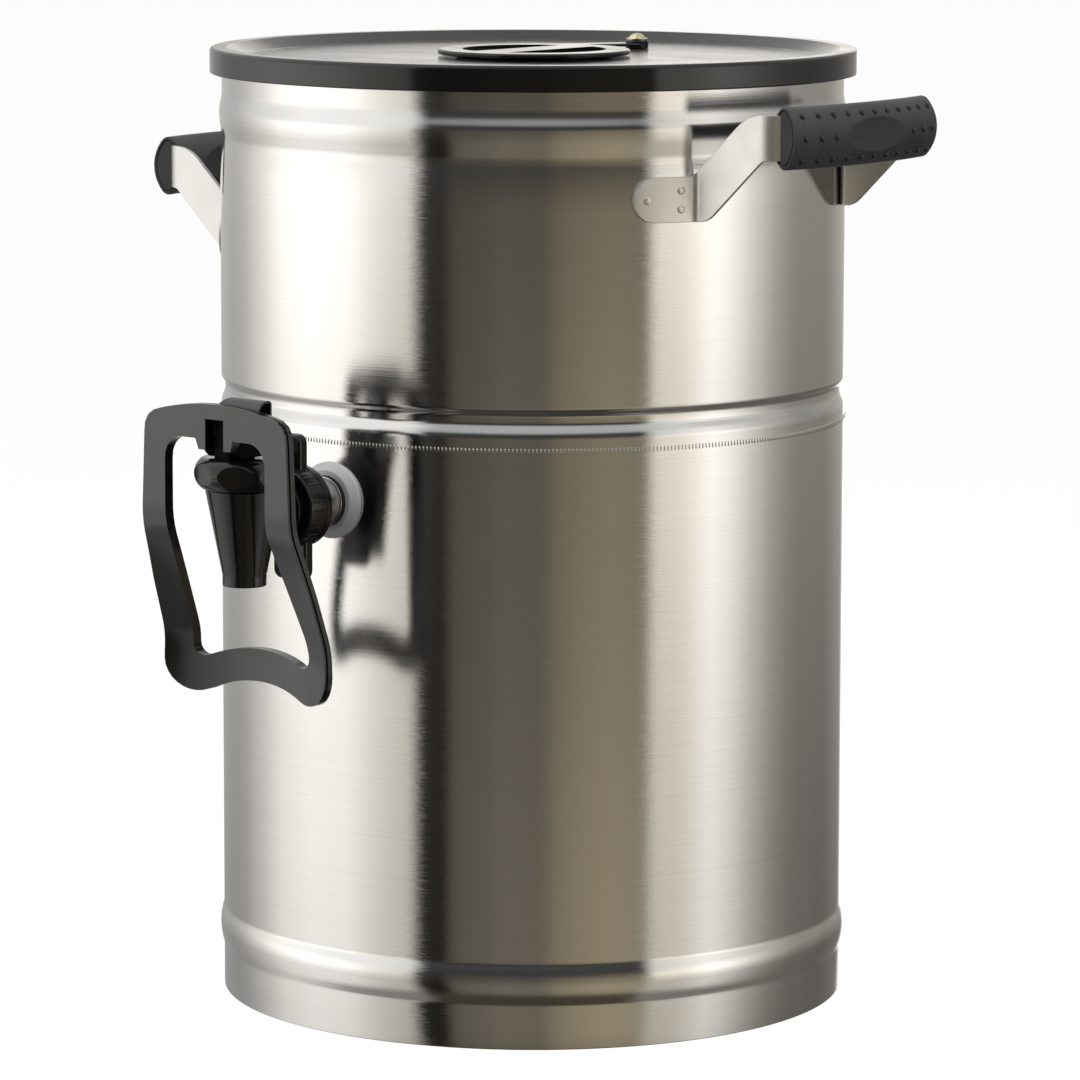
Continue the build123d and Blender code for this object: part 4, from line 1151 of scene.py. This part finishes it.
def makeWall():
    # a far ball of cards round the urn: table, side cards, dark gap above them, pale ceiling
    bpy.ops.object.select_all(action="DESELECT")
    bpy.ops.mesh.primitive_uv_sphere_add(segments=128, ring_count=64, radius=studio["wallRadius"])
    wall = bpy.context.object
    wall.name = "studioWall"
    finish = bpy.data.materials.new("studioCards")
    tree = clearTree(finish)
    place = tree.nodes.new("ShaderNodeTexCoord")
    turned = tree.nodes.new("ShaderNodeMapping")
    turned.inputs["Rotation"].default_value = (0, 0, radians(90 - cameraPlace["turn"]))
    apart = tree.nodes.new("ShaderNodeSeparateXYZ")
    tree.links.new(place.outputs["Object"], turned.inputs["Vector"])
    tree.links.new(turned.outputs["Vector"], apart.inputs["Vector"])
    angle = combine(tree, "ARCTAN2", apart.outputs["Y"], apart.outputs["X"])
    height = apart.outputs["Z"]
    # how far up the cards: 0 where the lower body mirrors them, 1 where the upper body does
    first, last = studio["span"]
    low, high = [bandHeight(studio["level"] + studio["step"] * end) for end in (first, last)]
    up = rangeValue(tree, height, first, last, low, high)
    share = rangeValue(tree, angle, 0.0, 1.0, -pi, pi)
    gain = combine(tree, "SUBTRACT", cardRamp(tree, share, studio["climb"]), 1.0)
    gain = combine(tree, "MULTIPLY_ADD", gain, up, 1.0)
    scale = tree.nodes.new("ShaderNodeVectorMath")
    scale.operation = "SCALE"
    tree.links.new(cardRamp(tree, share, studio["cards"]), scale.inputs[0])
    tree.links.new(gain, scale.inputs["Scale"])
    table = cardRamp(tree, share, studio["tableCards"])
    color = mixColor(tree, bandShare(tree, height, studio["tableEdge"]), table, scale.outputs[0])
    color = mixColor(tree, bandShare(tree, height, studio["deepEdge"]), studio["deep"], color)
    for edge, cards in (("upperEdge", "upperCards"), ("overEdge", "overCards")):
        above = cardRamp(tree, share, studio[cards])
        color = mixColor(tree, bandShare(tree, height, studio[edge]), color, above)
    glow = tree.nodes.new("ShaderNodeEmission")
    tree.links.new(color, glow.inputs["Color"])
    out = tree.nodes.new("ShaderNodeOutputMaterial")
    tree.links.new(glow.outputs["Emission"], out.inputs["Surface"])
    wall.data.materials.append(finish)
    wall.visible_camera = wall.visible_diffuse = wall.visible_shadow = wall.visible_transmission = False


def whiteShare(tree):
    # 1 for the rays that show the background: from the camera, in a reflection or through clear stuff
    path = tree.nodes.new("ShaderNodeLightPath")
    total = path.outputs["Is Camera Ray"]
    for ray in ("Is Glossy Ray", "Is Transmission Ray"):
        total = combine(tree, "MAXIMUM", total, path.outputs[ray])
    return total


def mixShaders(tree, share, first, second):
    mix = tree.nodes.new("ShaderNodeMixShader")
    tree.links.new(share, mix.inputs["Fac"])
    tree.links.new(first.outputs[0], mix.inputs[1])
    tree.links.new(second.outputs[0], mix.inputs[2])
    return mix


floorSizes = dict(size=60, grey=0.3, glow=1.12, glowShare=0.85)


def makeFloor():
    s = floorSizes
    bpy.ops.object.select_all(action="DESELECT")
    bpy.ops.mesh.primitive_plane_add(size=s["size"])
    floor = bpy.context.object
    floor.name = "studioFloor"
    finish = bpy.data.materials.new("studioFloor")
    tree = clearTree(finish)
    matte = tree.nodes.new("ShaderNodeBsdfDiffuse")
    matte.inputs["Color"].default_value = (s["grey"], s["grey"], s["grey"], 1)
    glow = tree.nodes.new("ShaderNodeEmission")
    glow.inputs["Strength"].default_value = s["glow"]
    lit = mixShaders(tree, combine(tree, "MULTIPLY", whiteShare(tree), s["glowShare"]), matte, glow)
    side = tree.nodes.new("ShaderNodeNewGeometry")
    clear = tree.nodes.new("ShaderNodeBsdfTransparent")
    oneWay = mixShaders(tree, side.outputs["Backfacing"], lit, clear)  # clear when looked at from below
    out = tree.nodes.new("ShaderNodeOutputMaterial")
    tree.links.new(oneWay.outputs[0], out.inputs["Surface"])
    floor.data.materials.append(finish)
    floor.visible_glossy = False


def makeWorld():
    world = bpy.data.worlds.new("studioAir")
    bpy.context.scene.world = world
    tree = clearTree(world)
    level = rangeValue(tree, whiteShare(tree), studio["air"], 1.0, 0.0, 1.0)
    back = tree.nodes.new("ShaderNodeBackground")
    back.inputs["Color"].default_value = (1, 1, 1, 1)
    tree.links.new(level, back.inputs["Strength"])
    out = tree.nodes.new("ShaderNodeOutputWorld")
    tree.links.new(back.outputs[0], out.inputs["Surface"])


# name, place, aim, size across, watts
lamps = [("keyLamp", (-0.9, -1.9, 1.6), (0, 0, 0.25), 0.9, 28),
         ("fillLamp", (2.2, -0.4, 1.2), (0, 0, 0.25), 1.0, 9),
         ("topLamp", (0.3, -0.2, 2.2), (0, 0, 0.2), 1.2, 60)]


def addLamp(name, place, aim, size, watts):
    bpy.ops.object.light_add(type="AREA", location=place)
    lamp = bpy.context.object
    lamp.name = lamp.data.name = name
    lamp.data.shape = "DISK"
    lamp.data.size = size
    lamp.data.energy = watts
    lamp.rotation_euler = (Vector(aim) - Vector(place)).to_track_quat("-Z", "Y").to_euler()
    lamp.visible_glossy = False  # reflections come from the cards


def addCamera():
    s, side = cameraPlace, radians(cameraPlace["turn"])
    place = Vector((s["distance"] * sin(side), -s["distance"] * cos(side), s["height"]))
    aim = Vector((s["aside"] * cos(side), s["aside"] * sin(side), s["aimZ"]))
    bpy.ops.object.camera_add(location=place)
    camera = bpy.context.object
    camera.data.sensor_width = s["sensor"]
    camera.data.lens = s["lens"]
    camera.data.clip_end = s["farthest"]
    view = (aim - place).to_track_quat("-Z", "Y") @ Quaternion((0, 0, 1), radians(s["roll"]))
    camera.rotation_euler = view.to_euler()
    bpy.context.scene.camera = camera


makeWall()
makeFloor()
makeWorld()
for lamp in lamps:
    addLamp(*lamp)
addCamera()
print("studio ready")
